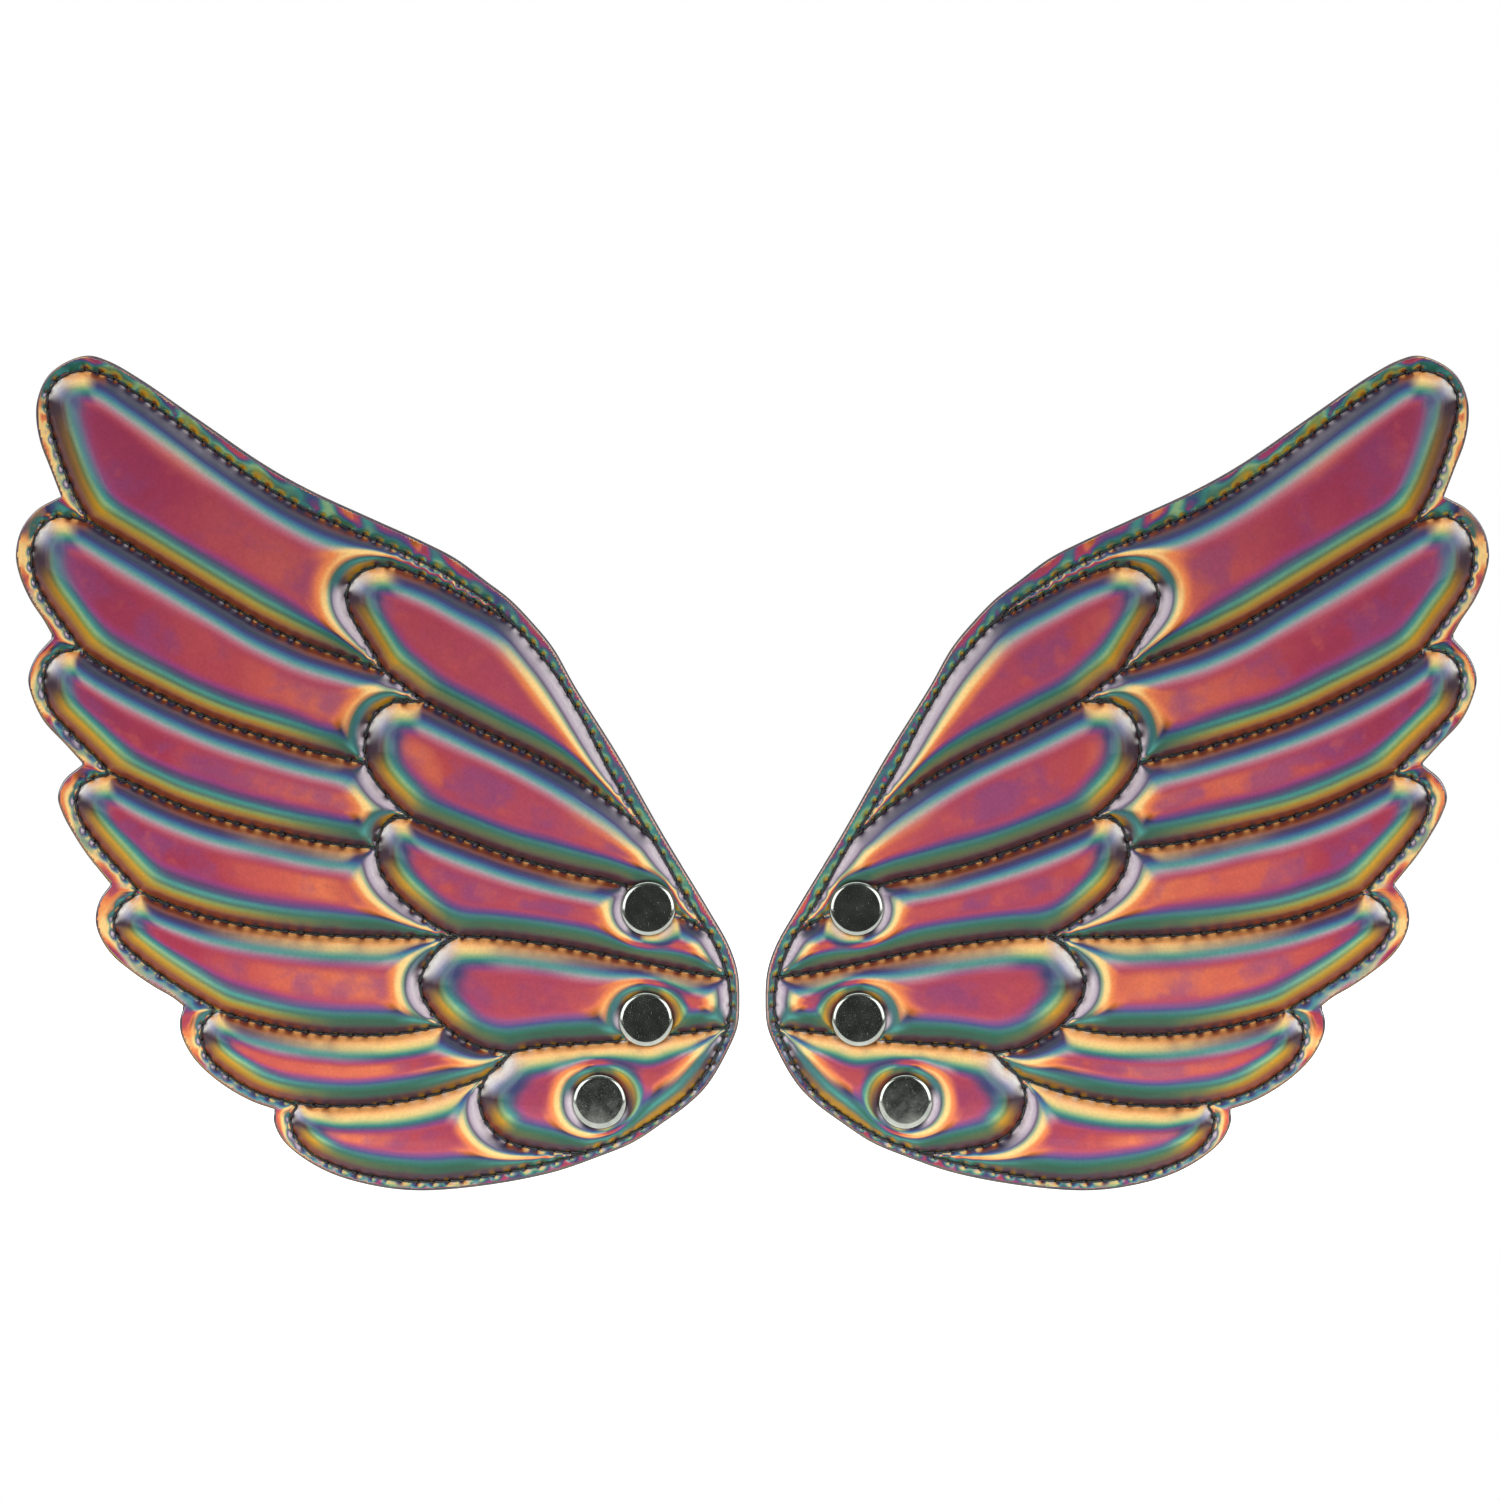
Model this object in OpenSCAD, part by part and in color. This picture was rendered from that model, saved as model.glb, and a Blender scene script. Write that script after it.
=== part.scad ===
// Pair of quilted fairy wings that snap onto the back of a costume.
// Millimetres, +Z up, the shiny front faces -Y, the right-hand wing is at +X.
// Origin: midway between the two wings, on the plane of the garment they snap to,
// level with the middle snap fasteners.

/* [Layers] */
// Thickness of the plain panel at the back
panel_t = 0.8; // [0.4:0.1:1.5]
// Thickness the foam is squeezed to under the stitching and at the edge
web_t = 0.6; // [0.3:0.1:1.2]
// Thickness of the shiny front film
film_t = 0.4; // [0.3:0.1:0.8]
// Height of each padded feather above its seams
puff = 3.7; // [2:0.1:5]

/* [Padding] */
// Distance from a seam to the first rise of a feather
rise_1 = 1.6; // [1:0.1:2.5]
// Distance from a seam to the flat top
rise_2 = 4.4; // [3.5:0.1:5]
// Radius left flat around each snap
moat_r = 7.4; // [6.8:0.1:9]

/* [Stitching] */
// Width of the sewing thread
thread_w = 0.5; // [0.3:0.05:0.8]
// Height of the thread above the film or panel
thread_h = 0.3; // [0.15:0.05:0.5]

/* [Snap fasteners] */
// Diameter of the domed cap
cap_d = 12.5; // [10:0.5:15]
// Height of the cap above the film
cap_h = 2.1; // [1.8:0.1:2.6]
// Outer diameter of the socket behind the wing
socket_d = 10.6; // [10:0.1:12]
// Height of the socket behind the wing
socket_h = 3.6; // [3.4:0.1:4.2]
// Diameter inside the ring spring that grips the stud
bore_d = 5; // [4.8:0.1:5.4]

/* [Pair] */
// Gap between the two wings at their roots
root_gap = 5.8; // [2:0.2:60]

/* [Hidden] */

// Heights through the wing, from the back panel's rear face towards the front.
foam_z = panel_t;
film_z = panel_t + web_t;
front_z = film_z + film_t;
rise_share = 0.55;
top_1 = front_z + puff * rise_share;
top_2 = front_z + puff;
eps = 0.2;

// How finely the curves are cut up, in millimetres, for lines, tight lines and padding.
line_step = 3;
tight_step = 2;
pad_step = 5;
// Share of an inset's distance at which a point counts as too near an edge.
near_share = 0.97;
// Gap left between the thread of the seams and the outline stitching.
thread_gap = 0.15;

// Snap fasteners, as distance out from the middle and height: upper, middle, lower.
snaps = [[23.5, 25], [24, 0], [34.5, -18.5]];
hole_r = 2;
// Sheet metal: walls, the cap's hem and skin, and how much the cap's top is domed.
metal_t = 0.5;
hem_w = 1.55;
skin_t = 0.35;
crown = 0.22;
// Roundings of the cap's rim, outside and inside.
rim_out = 1;
rim_in = 0.6;
// Post: outside, hollow, flange thickness and the end rolled over behind the socket's plate.
post_r = 1.9;
post_in = 1.5;
flange_t = 0.4;
roll_r = 2.95;
roll_t = 0.45;
// Socket: the cup inside it, the groove of the ring spring and the mouth.
cup_r = 3.5;
cup_wall = 0.6;
groove_r = 3.65;
groove_h = 1;
lip_t = 0.55;
mouth_r = bore_d / 2 + 0.35;
spring_t = 0.6;
spring_h = 0.8;
spring_arc = 318;

// The gap that the two wings are drawn with, before root_gap moves them.
drawn_gap = 5.8;

// ---- The cut edge of one wing, run by run between its sharp notches.
edge_root = [
    [156.1, 118], [158.8, 125], [160.7, 130], [161.7, 135.5], [161.4, 140], [159.2, 145],
    [155.2, 148.2], [150, 149.8], [145.5, 148.6], [139, 145], [124.5, 135], [110, 125.1],
    [100, 119.5], [85, 112.6], [75, 108.1], [67, 104], [60, 98.8], [55, 95], [50, 89.9],
    [45, 83.8], [40, 75], [30, 59], [20, 41.4], [10, 24.9], [5.2, 16.4], [3.3, 10.5],
    [2.9, 4.5], [3.3, -1.5], [5.4, -6.8], [10, -14.7], [14.2, -19], [20, -23.3],
    [27, -27.9], [35, -31.2], [45, -34.6], [60, -37.5], [75, -38.7], [85, -37.7],
    [95, -34.9], [102, -31], [106.3, -27], [108.1, -22.8]];
edge_6 = [
    [107.8, -20.4], [112.5, -18.8], [117.5, -16.2], [122.6, -12.5], [126.7, -8.1], [129.1, -3],
    [129.2, 0.3]];
edge_5 = [
    [128.3, 2.8], [131, 4.9], [135, 7.2], [140, 10.6], [144.6, 14.5], [147.4, 18.8], [148.3, 22.5],
    [147.4, 26.8]];
edge_4 = [[144.9, 30.4], [150, 36.8], [153, 41.3], [155.8, 46.5], [156.8, 50.2], [155.4, 53.9]];
edge_3 = [[151.1, 57.6], [155, 61.9], [160, 67.3], [162.5, 72.3], [163.5, 76.8], [162, 81.4]];
edge_2 = [
    [157.9, 86.3], [160, 90], [163.1, 94.7], [165.5, 100.3], [166.3, 105], [165, 110.6],
    [161.5, 115]];

// ---- Stitch lines. Each outer feather has a tip run and a seam towards the root.
tip_1 = [
    [150.7, 146.6], [156.2, 144.8], [159, 141.2], [159.1, 136.9], [157.3, 129.7], [155, 123.2],
    [152.8, 118]];
tip_2 = [
    [149.5, 112.3], [153.2, 113.2], [157.6, 113.3], [161.3, 110.2], [162.7, 105.5], [162.2, 100.1],
    [160.4, 96], [156.8, 90.8]];
tip_3 = [
    [151.1, 83], [153.5, 83.4], [157, 82.3], [159.4, 79.5], [160, 75.2], [158.4, 69.8],
    [154.3, 65.2], [149.5, 60.4]];
tip_4 = [
    [144.6, 55.4], [149, 54.3], [151.9, 52.3], [152.8, 49.5], [152, 45.6], [148.3, 40.1],
    [143.2, 34.1]];
tip_5 = [
    [137.8, 28.5], [141, 27.1], [143.4, 24.4], [144.3, 21.3], [142.5, 17.6], [138.9, 14.2],
    [133.7, 10.2], [126.9, 5.8]];
tip_6 = [
    [120.1, 1.8], [122.7, 0.8], [124.3, -2], [124.3, -5.5], [122.2, -9.3], [118.6, -12.4],
    [113.4, -15.8], [107.5, -18]];
tip_7 = [
    [102.5, -19], [104, -21.2], [104.3, -24], [102.3, -27.8], [98.4, -31.1], [90, -34.5],
    [80, -36.3], [70, -36.6],
    [60, -35.4], [50, -33.4], [43, -31.7]];
seam_12 = [
    [149.5, 112.3], [140, 106.7], [130, 100.7], [120, 94.7], [110, 88.9], [100, 84.4], [90, 81],
    [83, 78.5]];
seam_23 = [
    [151.1, 83], [145.3, 79.2], [130, 71.3], [120, 67], [110, 63.7], [100, 60.7], [91.3, 58.7],
    [87.1, 57.7]];
seam_34 = [
    [144.6, 55.4], [140, 53.2], [130, 48.6], [120, 45.2], [110, 42.7], [100, 40.5], [92, 39.2],
    [84.8, 38.7]];
seam_45 = [
    [137.8, 28.5], [130, 25.3], [120, 22.3], [110, 20.5], [100, 19.3], [90, 18.7], [78, 18.5],
    [66.6, 18.6]];
seam_56 = [[120.1, 1.8], [115, 0.2], [110, -1.1], [100, -2.9], [90, -3.6], [80, -3.3], [69.7, -1.4]];
seam_67 = [[102.5, -19], [95, -19.6], [85, -19.3], [75, -17.8], [67, -15.6], [60.1, -13]];

// ---- Inner feathers: a tip run up to where an outer seam meets it, the rest of the
// tip, then the seam towards the root.
inner_1a = [
    [53.5, 88.8], [57, 91.2], [64.3, 95.1], [71.8, 98.9], [77.4, 101.1], [83, 102.4], [88.3, 100.9],
    [91.4, 97.3], [91.5, 93.4], [89.8, 89.7], [86, 83.4]];
inner_1b = [[83, 78.5], [79.3, 75.7]];
inner_2a = [[74.5, 71.9], [77, 71.5], [80, 71.8], [83.5, 70.2], [86.3, 67], [87.4, 62.7]];
inner_2b = [[87.1, 57.7], [85.5, 54.4], [81.6, 49.6]];
inner_3a = [[77.2, 45.5], [81.2, 45.2], [83.7, 42.9]];
inner_3b = [[84.8, 38.7], [84.4, 34.5], [81.9, 30], [77.4, 25.4], [71.8, 21.2]];
inner_4a = [[66.6, 18.6], [70, 16.6], [73.3, 12.7], [75.1, 8.5], [74.2, 4.5]];
inner_4b = [[69.7, -1.4], [66.3, -3.9], [61, -6.5]];
inner_5a = [[54.5, -7.6], [57.5, -10.9]];
inner_5b = [
    [60.1, -13], [61.7, -17], [61.2, -21], [59.1, -24.7], [55, -27.7], [50, -29], [43.8, -29.9]];
root_12 = [
    [74.5, 71.9], [70, 69.6], [60, 64.6], [50, 59.9], [45, 57.3], [40, 54.4], [35, 51], [30, 47.3]];
root_23 = [[77.2, 45.5], [70, 42.5], [60, 38.7], [50, 35.4], [40, 32.8], [30, 30.6]];
root_23b = [[17.2, 23.8], [14.5, 22.3]];
root_34 = [[66.6, 18.6], [60, 18.5], [50, 17.4], [40, 15.9], [30, 13.9], [20, 11.8], [11, 10.1]];
root_45 = [[54.5, -7.6], [50, -6.5], [45, -5.9], [38, -5.5], [30.2, -4.9]];
root_45b = [[17.6, -3.4], [10, -2.4]];

// ---- The stitch line down the root and up the top edge, between the feathers' ends.
rim_5 = [[37.5, -30.1], [30, -27.3], [20, -21.4], [14.5, -17], [9.7, -10.8], [6.8, -4.8]];
rim_4 = [[5.6, -1.8], [4.9, 3], [5.1, 6.5]];
rim_3 = [[5.6, 9.6], [7.6, 15]];
rim_2 = [[10, 19.7], [13.6, 25.2], [16.9, 30.8], [20, 36.3]];
rim_1 = [
    [22.4, 40.4], [25, 44.3], [27.6, 48.4], [32.7, 56.8], [37.8, 66.8], [41.8, 73.7], [45, 78.7],
    [49.3, 84]];
top_run = [
    [53.5, 88.8], [56.8, 92], [60, 94.5], [65, 97.7], [70, 101], [75, 103.4], [80, 105.8],
    [90, 110.2],
    [100, 114.6], [110, 120.3], [120, 127.3], [130, 134.9], [139.3, 141.4], [145.3, 145.2]];

// ---- Curves. A run is a list of points that a smooth curve goes through.
function knot(a, b) = max(0.01, sqrt(norm(b - a)));

function bend(a, b, c, d, s) =
    let (t1 = knot(a, b),
         t2 = t1 + knot(b, c),
         t3 = t2 + knot(c, d),
         t = t1 + s * (t2 - t1),
         p = ((t1 - t) * a + t * b) / t1,
         q = ((t2 - t) * b + (t - t1) * c) / (t2 - t1),
         r = ((t3 - t) * c + (t - t2) * d) / (t3 - t2),
         u = ((t2 - t) * p + t * q) / t2,
         v = ((t3 - t) * q + (t - t1) * r) / (t3 - t1))
    ((t2 - t) * u + (t - t1) * v) / (t2 - t1);

// The curve through a run, without its last point.
function curve(p, step) =
    let (m = len(p) - 1)
    [for (i = [0 : m - 1])
        let (a = i == 0 ? 2 * p[0] - p[1] : p[i - 1],
             d = i + 2 > m ? 2 * p[m] - p[m - 1] : p[i + 2],
             n = ceil(norm(p[i + 1] - p[i]) / step))
        for (k = [0 : n - 1]) bend(a, p[i], p[i + 1], d, k / n)];

function full(p, step) = concat(curve(p, step), [p[len(p) - 1]]);
function to(p, next) = concat(p, [next[0]]);
function back(p, step) = let (q = full(p, step)) [for (i = [len(q) - 1 : -1 : 1]) q[i]];
function rev(p) = [for (i = [len(p) - 1 : -1 : 0]) p[i]];
function unit(v) = v / max(0.0001, norm(v));

// ---- Runs joined end to end.
edges = [to(edge_root, edge_6), to(edge_6, edge_5), to(edge_5, edge_4),
    to(edge_4, edge_3), to(edge_3, edge_2), to(edge_2, edge_root)];
top = to(top_run, tip_1);
tips = [to(tip_1, tip_2), to(tip_2, tip_3), to(tip_3, tip_4), to(tip_4, tip_5),
    to(tip_5, tip_6), to(tip_6, tip_7), to(tip_7, rim_5)];
seams = [seam_12, seam_23, seam_34, seam_45, seam_56, seam_67];
inner_a = [to(inner_1a, inner_1b), to(inner_2a, inner_2b), to(inner_3a, inner_3b),
    to(inner_4a, inner_4b), to(inner_5a, inner_5b)];
inner_b = [to(inner_1b, inner_2a), to(inner_2b, inner_3a), to(inner_3b, inner_4a),
    to(inner_4b, inner_5a), to(inner_5b, rim_5)];
roots = [to(root_12, rim_1), to(concat(root_23, root_23b), rim_2), to(root_34, rim_3),
    to(concat(root_45, root_45b), rim_4)];
rims = [to(rim_1, top_run), to(rim_2, rim_1), to(rim_3, rim_2), to(rim_4, rim_3), to(rim_5, rim_4)];

// One wing's closed cut edge.
function edge_loop(step) = [for (e = edges) each curve(e, step)];

// One wing's closed line of stitching inside the edge.
function stitch_loop(step) = concat(
    curve(to(concat(rim_5, rim_4, rim_3, rim_2, rim_1, top_run), tip_1), step),
    [for (t = tips) each curve(t, step)]);

// The border of an outer feather, from 0 at the top to 6 at the bottom.
function outer_border(k, s) = concat(
    k == 0 ? curve(top, s) : [],
    curve(tips[k], s),
    k < 6 ? curve(seams[k], s) : back(inner_b[4], s),
    k == 0 ? back(inner_a[0], s) : [],
    k == 1 || k == 2 ? concat(back(inner_a[k], s), back(inner_b[k - 1], s)) : [],
    k == 3 ? back(inner_b[2], s) : [],
    k == 4 ? back(inner_a[3], s) : [],
    k == 5 ? concat(back(inner_a[4], s), back(inner_b[3], s)) : [],
    k > 0 ? back(seams[k - 1], s) : []);

// The border of an inner feather, from 0 at the top to 4 at the bottom.
function inner_border(k, s) = concat(
    curve(inner_a[k], s),
    curve(inner_b[k], s),
    k < 4 ? curve(roots[k], s) : [],
    curve(rims[k], s),
    k > 0 ? back(roots[k - 1], s) : []);

// ---- Moving a closed loop inwards. Points that come too near an edge are dropped.
function area2(p) =
    let (n = len(p), c = [for (i = [0 : n - 1]) cross(p[i], p[(i + 1) % n])])
    c * [for (i = c) 1];

function tidy(p) =
    let (n = len(p))
    [for (i = [0 : n - 1]) if (norm(p[i] - p[(i + 1) % n]) > 0.05) p[i]];

function gap(q, a, b) =
    let (e = b - a, t = max(0, min(1, (q - a) * e / max(0.0001, e * e))))
    norm(q - a - t * e);

function nearest(q, p) =
    let (n = len(p))
    min([for (i = [0 : n - 1]) gap(q, p[i], p[(i + 1) % n])]);

function inset(loop, d) =
    let (c = tidy(loop),
         p = area2(c) > 0 ? c : rev(c),
         n = len(p),
         q = [for (i = [0 : n - 1])
             let (e = unit(p[(i + 1) % n] - p[i]) + unit(p[i] - p[(i + n - 1) % n]), f = unit(e))
             p[i] + d * [-f[1], f[0]]])
    [for (i = [0 : n - 1]) if (nearest(q[i], p) > near_share * d) q[i]];

// A path turned into a strip of the thread's width.
function strip(p, w) =
    let (m = len(p) - 1,
         e = [for (i = [0 : m]) unit(p[min(i + 1, m)] - p[max(i - 1, 0)])],
         n = [for (v = e) [-v[1], v[0]] * w / 2])
    concat([for (i = [0 : m]) p[i] + n[i]], [for (i = [m : -1 : 0]) p[i] - n[i]]);

// The part of a path that stays clear of the outline stitching.
function clear_of(p, loop) = [for (q = p) if (nearest(q, loop) > thread_w + thread_gap) q];

function flip(p, side) = [for (q = p) [side * q[0], q[1]]];

// ---- Placing. A wing is drawn flat, its back panel's rear face at zero height.
module stand(side) {
    shift = side * (root_gap - drawn_gap) / 2;
    translate([shift, -socket_h, 0])
        rotate([90, 0, 0])
            children();
}

module slab(loop, side, z0, z1) {
    translate([0, 0, z0])
        linear_extrude(height = z1 - z0)
            polygon(flip(loop, side));
}

module snap_holes(side) {
    for (s = snaps)
        translate([side * s[0], s[1], -1])
            cylinder(r = hole_r, h = top_2 + 2, $fn = 48);
}

// One level of all the feathers' padding, cut back around the snaps.
module level(side, d, z0, z1, moat) {
    difference() {
        union() {
            for (k = [0 : 6])
                slab(inset(outer_border(k, pad_step), d), side, z0, z1);
            for (k = [0 : 4])
                slab(inset(inner_border(k, pad_step), d), side, z0, z1);
        }
        for (s = snaps)
            translate([side * s[0], s[1], z0 - 1])
                cylinder(r = moat, h = z1 - z0 + 2, $fn = 64);
    }
}

module foam_body(side, low) {
    level(side, rise_1 + film_t, low, top_1 - film_t, moat_r + film_t);
    level(side, rise_2 + film_t, top_1 - film_t - eps, top_2 - film_t,
        moat_r + rise_2 - rise_1 + film_t);
}

module front_film(side) {
    stand(side)
        difference() {
            union() {
                slab(edge_loop(line_step), side, film_z, front_z);
                level(side, rise_1, front_z - eps, top_1, moat_r);
                level(side, rise_2, top_1 - eps, top_2, moat_r + rise_2 - rise_1);
            }
            foam_body(side, 0);
            snap_holes(side);
        }
}

module foam(side) {
    stand(side)
        difference() {
            union() {
                slab(edge_loop(line_step), side, foam_z, film_z);
                foam_body(side, foam_z + eps);
            }
            snap_holes(side);
        }
}

module back_panel(side) {
    stand(side)
        difference() {
            slab(edge_loop(line_step), side, 0, panel_t);
            snap_holes(side);
        }
}

// ---- Stitching. The front thread lies on the film, the bobbin thread on the back.
module thread(p, side, z0, z1) {
    slab(strip(p, thread_w), side, z0, z1);
}

module ring_of_thread(side, z0, z1) {
    p = tidy(stitch_loop(line_step));
    n = len(p);
    w = [for (i = [0 : n - 1])
        let (e = unit(p[(i + 1) % n] - p[(i + n - 1) % n])) [-e[1], e[0]] * thread_w / 2];
    translate([0, 0, z0])
        linear_extrude(height = z1 - z0)
            polygon(
                flip(concat(p + w, p - w), side),
                [[for (i = [0 : n - 1]) i], [for (i = [0 : n - 1]) n + i]]);
    thread(full(to(root_23b, rim_2), line_step), side, z0, z1);
    thread(full(to(root_45b, rim_4), line_step), side, z0, z1);
}

module quilt_of_thread(side, z0, z1) {
    loop = tidy(stitch_loop(line_step));
    inner = [
        concat(inner_1a, inner_1b), concat(inner_2a, inner_2b), concat(inner_3a, inner_3b),
        concat(inner_4a, inner_4b)
    ];
    after = [inner_2a, inner_3a, inner_4a, inner_5a];
    ends = [roots[0], root_23, roots[2], root_45];
    for (p = seams)
        thread(clear_of(full(p, line_step), loop), side, z0, z1);
    for (k = [0 : 3]) {
        p = concat(curve(to(inner[k], after[k]), tight_step), full(ends[k], tight_step));
        thread(clear_of(p, loop), side, z0, z1);
    }
    last = full(to(concat(inner_5a, inner_5b), rim_5), tight_step);
    thread(clear_of(last, loop), side, z0, z1);
}

module front_outline(side) {
    stand(side)
        ring_of_thread(side, front_z, front_z + thread_h);
}

module front_quilting(side) {
    stand(side)
        quilt_of_thread(side, front_z, front_z + thread_h);
}

module back_outline(side) {
    stand(side)
        ring_of_thread(side, -thread_h, 0);
}

module back_quilting(side) {
    stand(side)
        quilt_of_thread(side, -thread_h, 0);
}

// ---- Snap fastener: cap, post, socket and ring spring, each turned about its axis.
module at_snap(side, k) {
    stand(side)
        translate([side * snaps[k][0], snaps[k][1], 0])
            children();
}

module snap_cap(side, k) {
    r = cap_d / 2;
    f = front_z;
    h = f + cap_h;
    at_snap(side, k)
        rotate_extrude($fn = 96)
            polygon(concat(
                [[0, h], [r * 0.42, h - crown / 4], [r * 0.72, h - crown * 3 / 4]],
                [for (a = [80 : -20 : -20])
                    [r - rim_out + rim_out * cos(a), h - crown - rim_out + rim_out * sin(a)]],
                [[r - 0.15, f + 0.05], [r - 0.4, f], [r - hem_w, f]],
                [[r - hem_w, f + skin_t], [r - metal_t, f + skin_t]],
                [for (a = [0 : 30 : 90])
                    [r - metal_t - rim_in + rim_in * cos(a), h - 2 * rim_in + rim_in * sin(a)]],
                [[r * 0.42, h - metal_t], [0, h - metal_t + crown / 4]]));
}

module snap_post(side, k) {
    r = cap_d / 2 - metal_t - 0.3;
    f = front_z + skin_t;
    e = -metal_t;
    at_snap(side, k)
        rotate_extrude($fn = 64)
            polygon([
                [post_in, f + flange_t], [r, f + flange_t], [r, f],
                [post_r + 0.3, f], [post_r, f - 0.3], [post_r, e],
                [roll_r - 0.2, e], [roll_r, e - roll_t / 2], [roll_r - 0.2, e - roll_t],
                [post_r, e - roll_t], [post_in, e - 0.05]]);
}

module snap_socket(side, k) {
    r = socket_d / 2;
    cup = cup_r + cup_wall;
    floor_z = -socket_h + 0.7;
    lip_z = -socket_h + lip_t;
    groove_z = lip_z + groove_h;
    at_snap(side, k)
        rotate_extrude($fn = 96)
            polygon([
                [hole_r, 0], [cup, 0], [cup, floor_z], [r - metal_t, floor_z], [r - metal_t, 0],
                [r, 0], [r, floor_z + 0.2], [r - 0.2, -socket_h + 0.35], [r - 0.8, -socket_h],
                [mouth_r + 0.1, -socket_h], [mouth_r, -socket_h + 0.1], [mouth_r, lip_z],
                [groove_r, lip_z], [groove_r, groove_z], [roll_r, groove_z],
                [roll_r, groove_z + 0.4], [cup_r, groove_z + 0.4], [cup_r, -metal_t],
                [hole_r, -metal_t]]);
}

// The ring spring is split, with its gap at the bottom.
module snap_spring(side, k) {
    at_snap(side, k)
        translate([0, 0, -socket_h + lip_t + 0.05])
            rotate([0, 0, 270 + (360 - spring_arc) / 2])
                rotate_extrude(angle = spring_arc, $fn = 96)
                    translate([bore_d / 2, 0])
                        square([spring_t, spring_h]);
}

// ---- Left wing.
module left_front_film() { color([0.72, 0.25, 0.36]) front_film(-1); }
module left_foam() { color([0.93, 0.92, 0.88]) foam(-1); }
module left_back_panel() { color([0.2, 0.18, 0.22]) back_panel(-1); }
module left_outline_stitching() { color([0.04, 0.04, 0.05]) front_outline(-1); }
module left_quilting_stitching() { color([0.05, 0.05, 0.06]) front_quilting(-1); }
module left_outline_bobbin() { color([0.04, 0.04, 0.05]) back_outline(-1); }
module left_quilting_bobbin() { color([0.05, 0.05, 0.06]) back_quilting(-1); }
module left_upper_cap() { color([0.75, 0.76, 0.75]) snap_cap(-1, 0); }
module left_upper_post() { color([0.7, 0.7, 0.68]) snap_post(-1, 0); }
module left_upper_socket() { color([0.66, 0.67, 0.66]) snap_socket(-1, 0); }
module left_upper_spring() { color([0.8, 0.78, 0.7]) snap_spring(-1, 0); }
module left_middle_cap() { color([0.75, 0.76, 0.75]) snap_cap(-1, 1); }
module left_middle_post() { color([0.7, 0.7, 0.68]) snap_post(-1, 1); }
module left_middle_socket() { color([0.66, 0.67, 0.66]) snap_socket(-1, 1); }
module left_middle_spring() { color([0.8, 0.78, 0.7]) snap_spring(-1, 1); }
module left_lower_cap() { color([0.75, 0.76, 0.75]) snap_cap(-1, 2); }
module left_lower_post() { color([0.7, 0.7, 0.68]) snap_post(-1, 2); }
module left_lower_socket() { color([0.66, 0.67, 0.66]) snap_socket(-1, 2); }
module left_lower_spring() { color([0.8, 0.78, 0.7]) snap_spring(-1, 2); }

// ---- Right wing, the mirror of the left.
module right_front_film() { color([0.72, 0.25, 0.36]) front_film(1); }
module right_foam() { color([0.93, 0.92, 0.88]) foam(1); }
module right_back_panel() { color([0.2, 0.18, 0.22]) back_panel(1); }
module right_outline_stitching() { color([0.04, 0.04, 0.05]) front_outline(1); }
module right_quilting_stitching() { color([0.05, 0.05, 0.06]) front_quilting(1); }
module right_outline_bobbin() { color([0.04, 0.04, 0.05]) back_outline(1); }
module right_quilting_bobbin() { color([0.05, 0.05, 0.06]) back_quilting(1); }
module right_upper_cap() { color([0.75, 0.76, 0.75]) snap_cap(1, 0); }
module right_upper_post() { color([0.7, 0.7, 0.68]) snap_post(1, 0); }
module right_upper_socket() { color([0.66, 0.67, 0.66]) snap_socket(1, 0); }
module right_upper_spring() { color([0.8, 0.78, 0.7]) snap_spring(1, 0); }
module right_middle_cap() { color([0.75, 0.76, 0.75]) snap_cap(1, 1); }
module right_middle_post() { color([0.7, 0.7, 0.68]) snap_post(1, 1); }
module right_middle_socket() { color([0.66, 0.67, 0.66]) snap_socket(1, 1); }
module right_middle_spring() { color([0.8, 0.78, 0.7]) snap_spring(1, 1); }
module right_lower_cap() { color([0.75, 0.76, 0.75]) snap_cap(1, 2); }
module right_lower_post() { color([0.7, 0.7, 0.68]) snap_post(1, 2); }
module right_lower_socket() { color([0.66, 0.67, 0.66]) snap_socket(1, 2); }
module right_lower_spring() { color([0.8, 0.78, 0.7]) snap_spring(1, 2); }

left_front_film();
left_foam();
left_back_panel();
left_outline_stitching();
left_quilting_stitching();
left_outline_bobbin();
left_quilting_bobbin();
left_upper_cap();
left_upper_post();
left_upper_socket();
left_upper_spring();
left_middle_cap();
left_middle_post();
left_middle_socket();
left_middle_spring();
left_lower_cap();
left_lower_post();
left_lower_socket();
left_lower_spring();
right_front_film();
right_foam();
right_back_panel();
right_outline_stitching();
right_quilting_stitching();
right_outline_bobbin();
right_quilting_bobbin();
right_upper_cap();
right_upper_post();
right_upper_socket();
right_upper_spring();
right_middle_cap();
right_middle_post();
right_middle_socket();
right_middle_spring();
right_lower_cap();
right_lower_post();
right_lower_socket();
right_lower_spring();
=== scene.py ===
import math

import bpy
import numpy as np
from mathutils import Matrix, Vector
from mathutils.kdtree import KDTree


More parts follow.
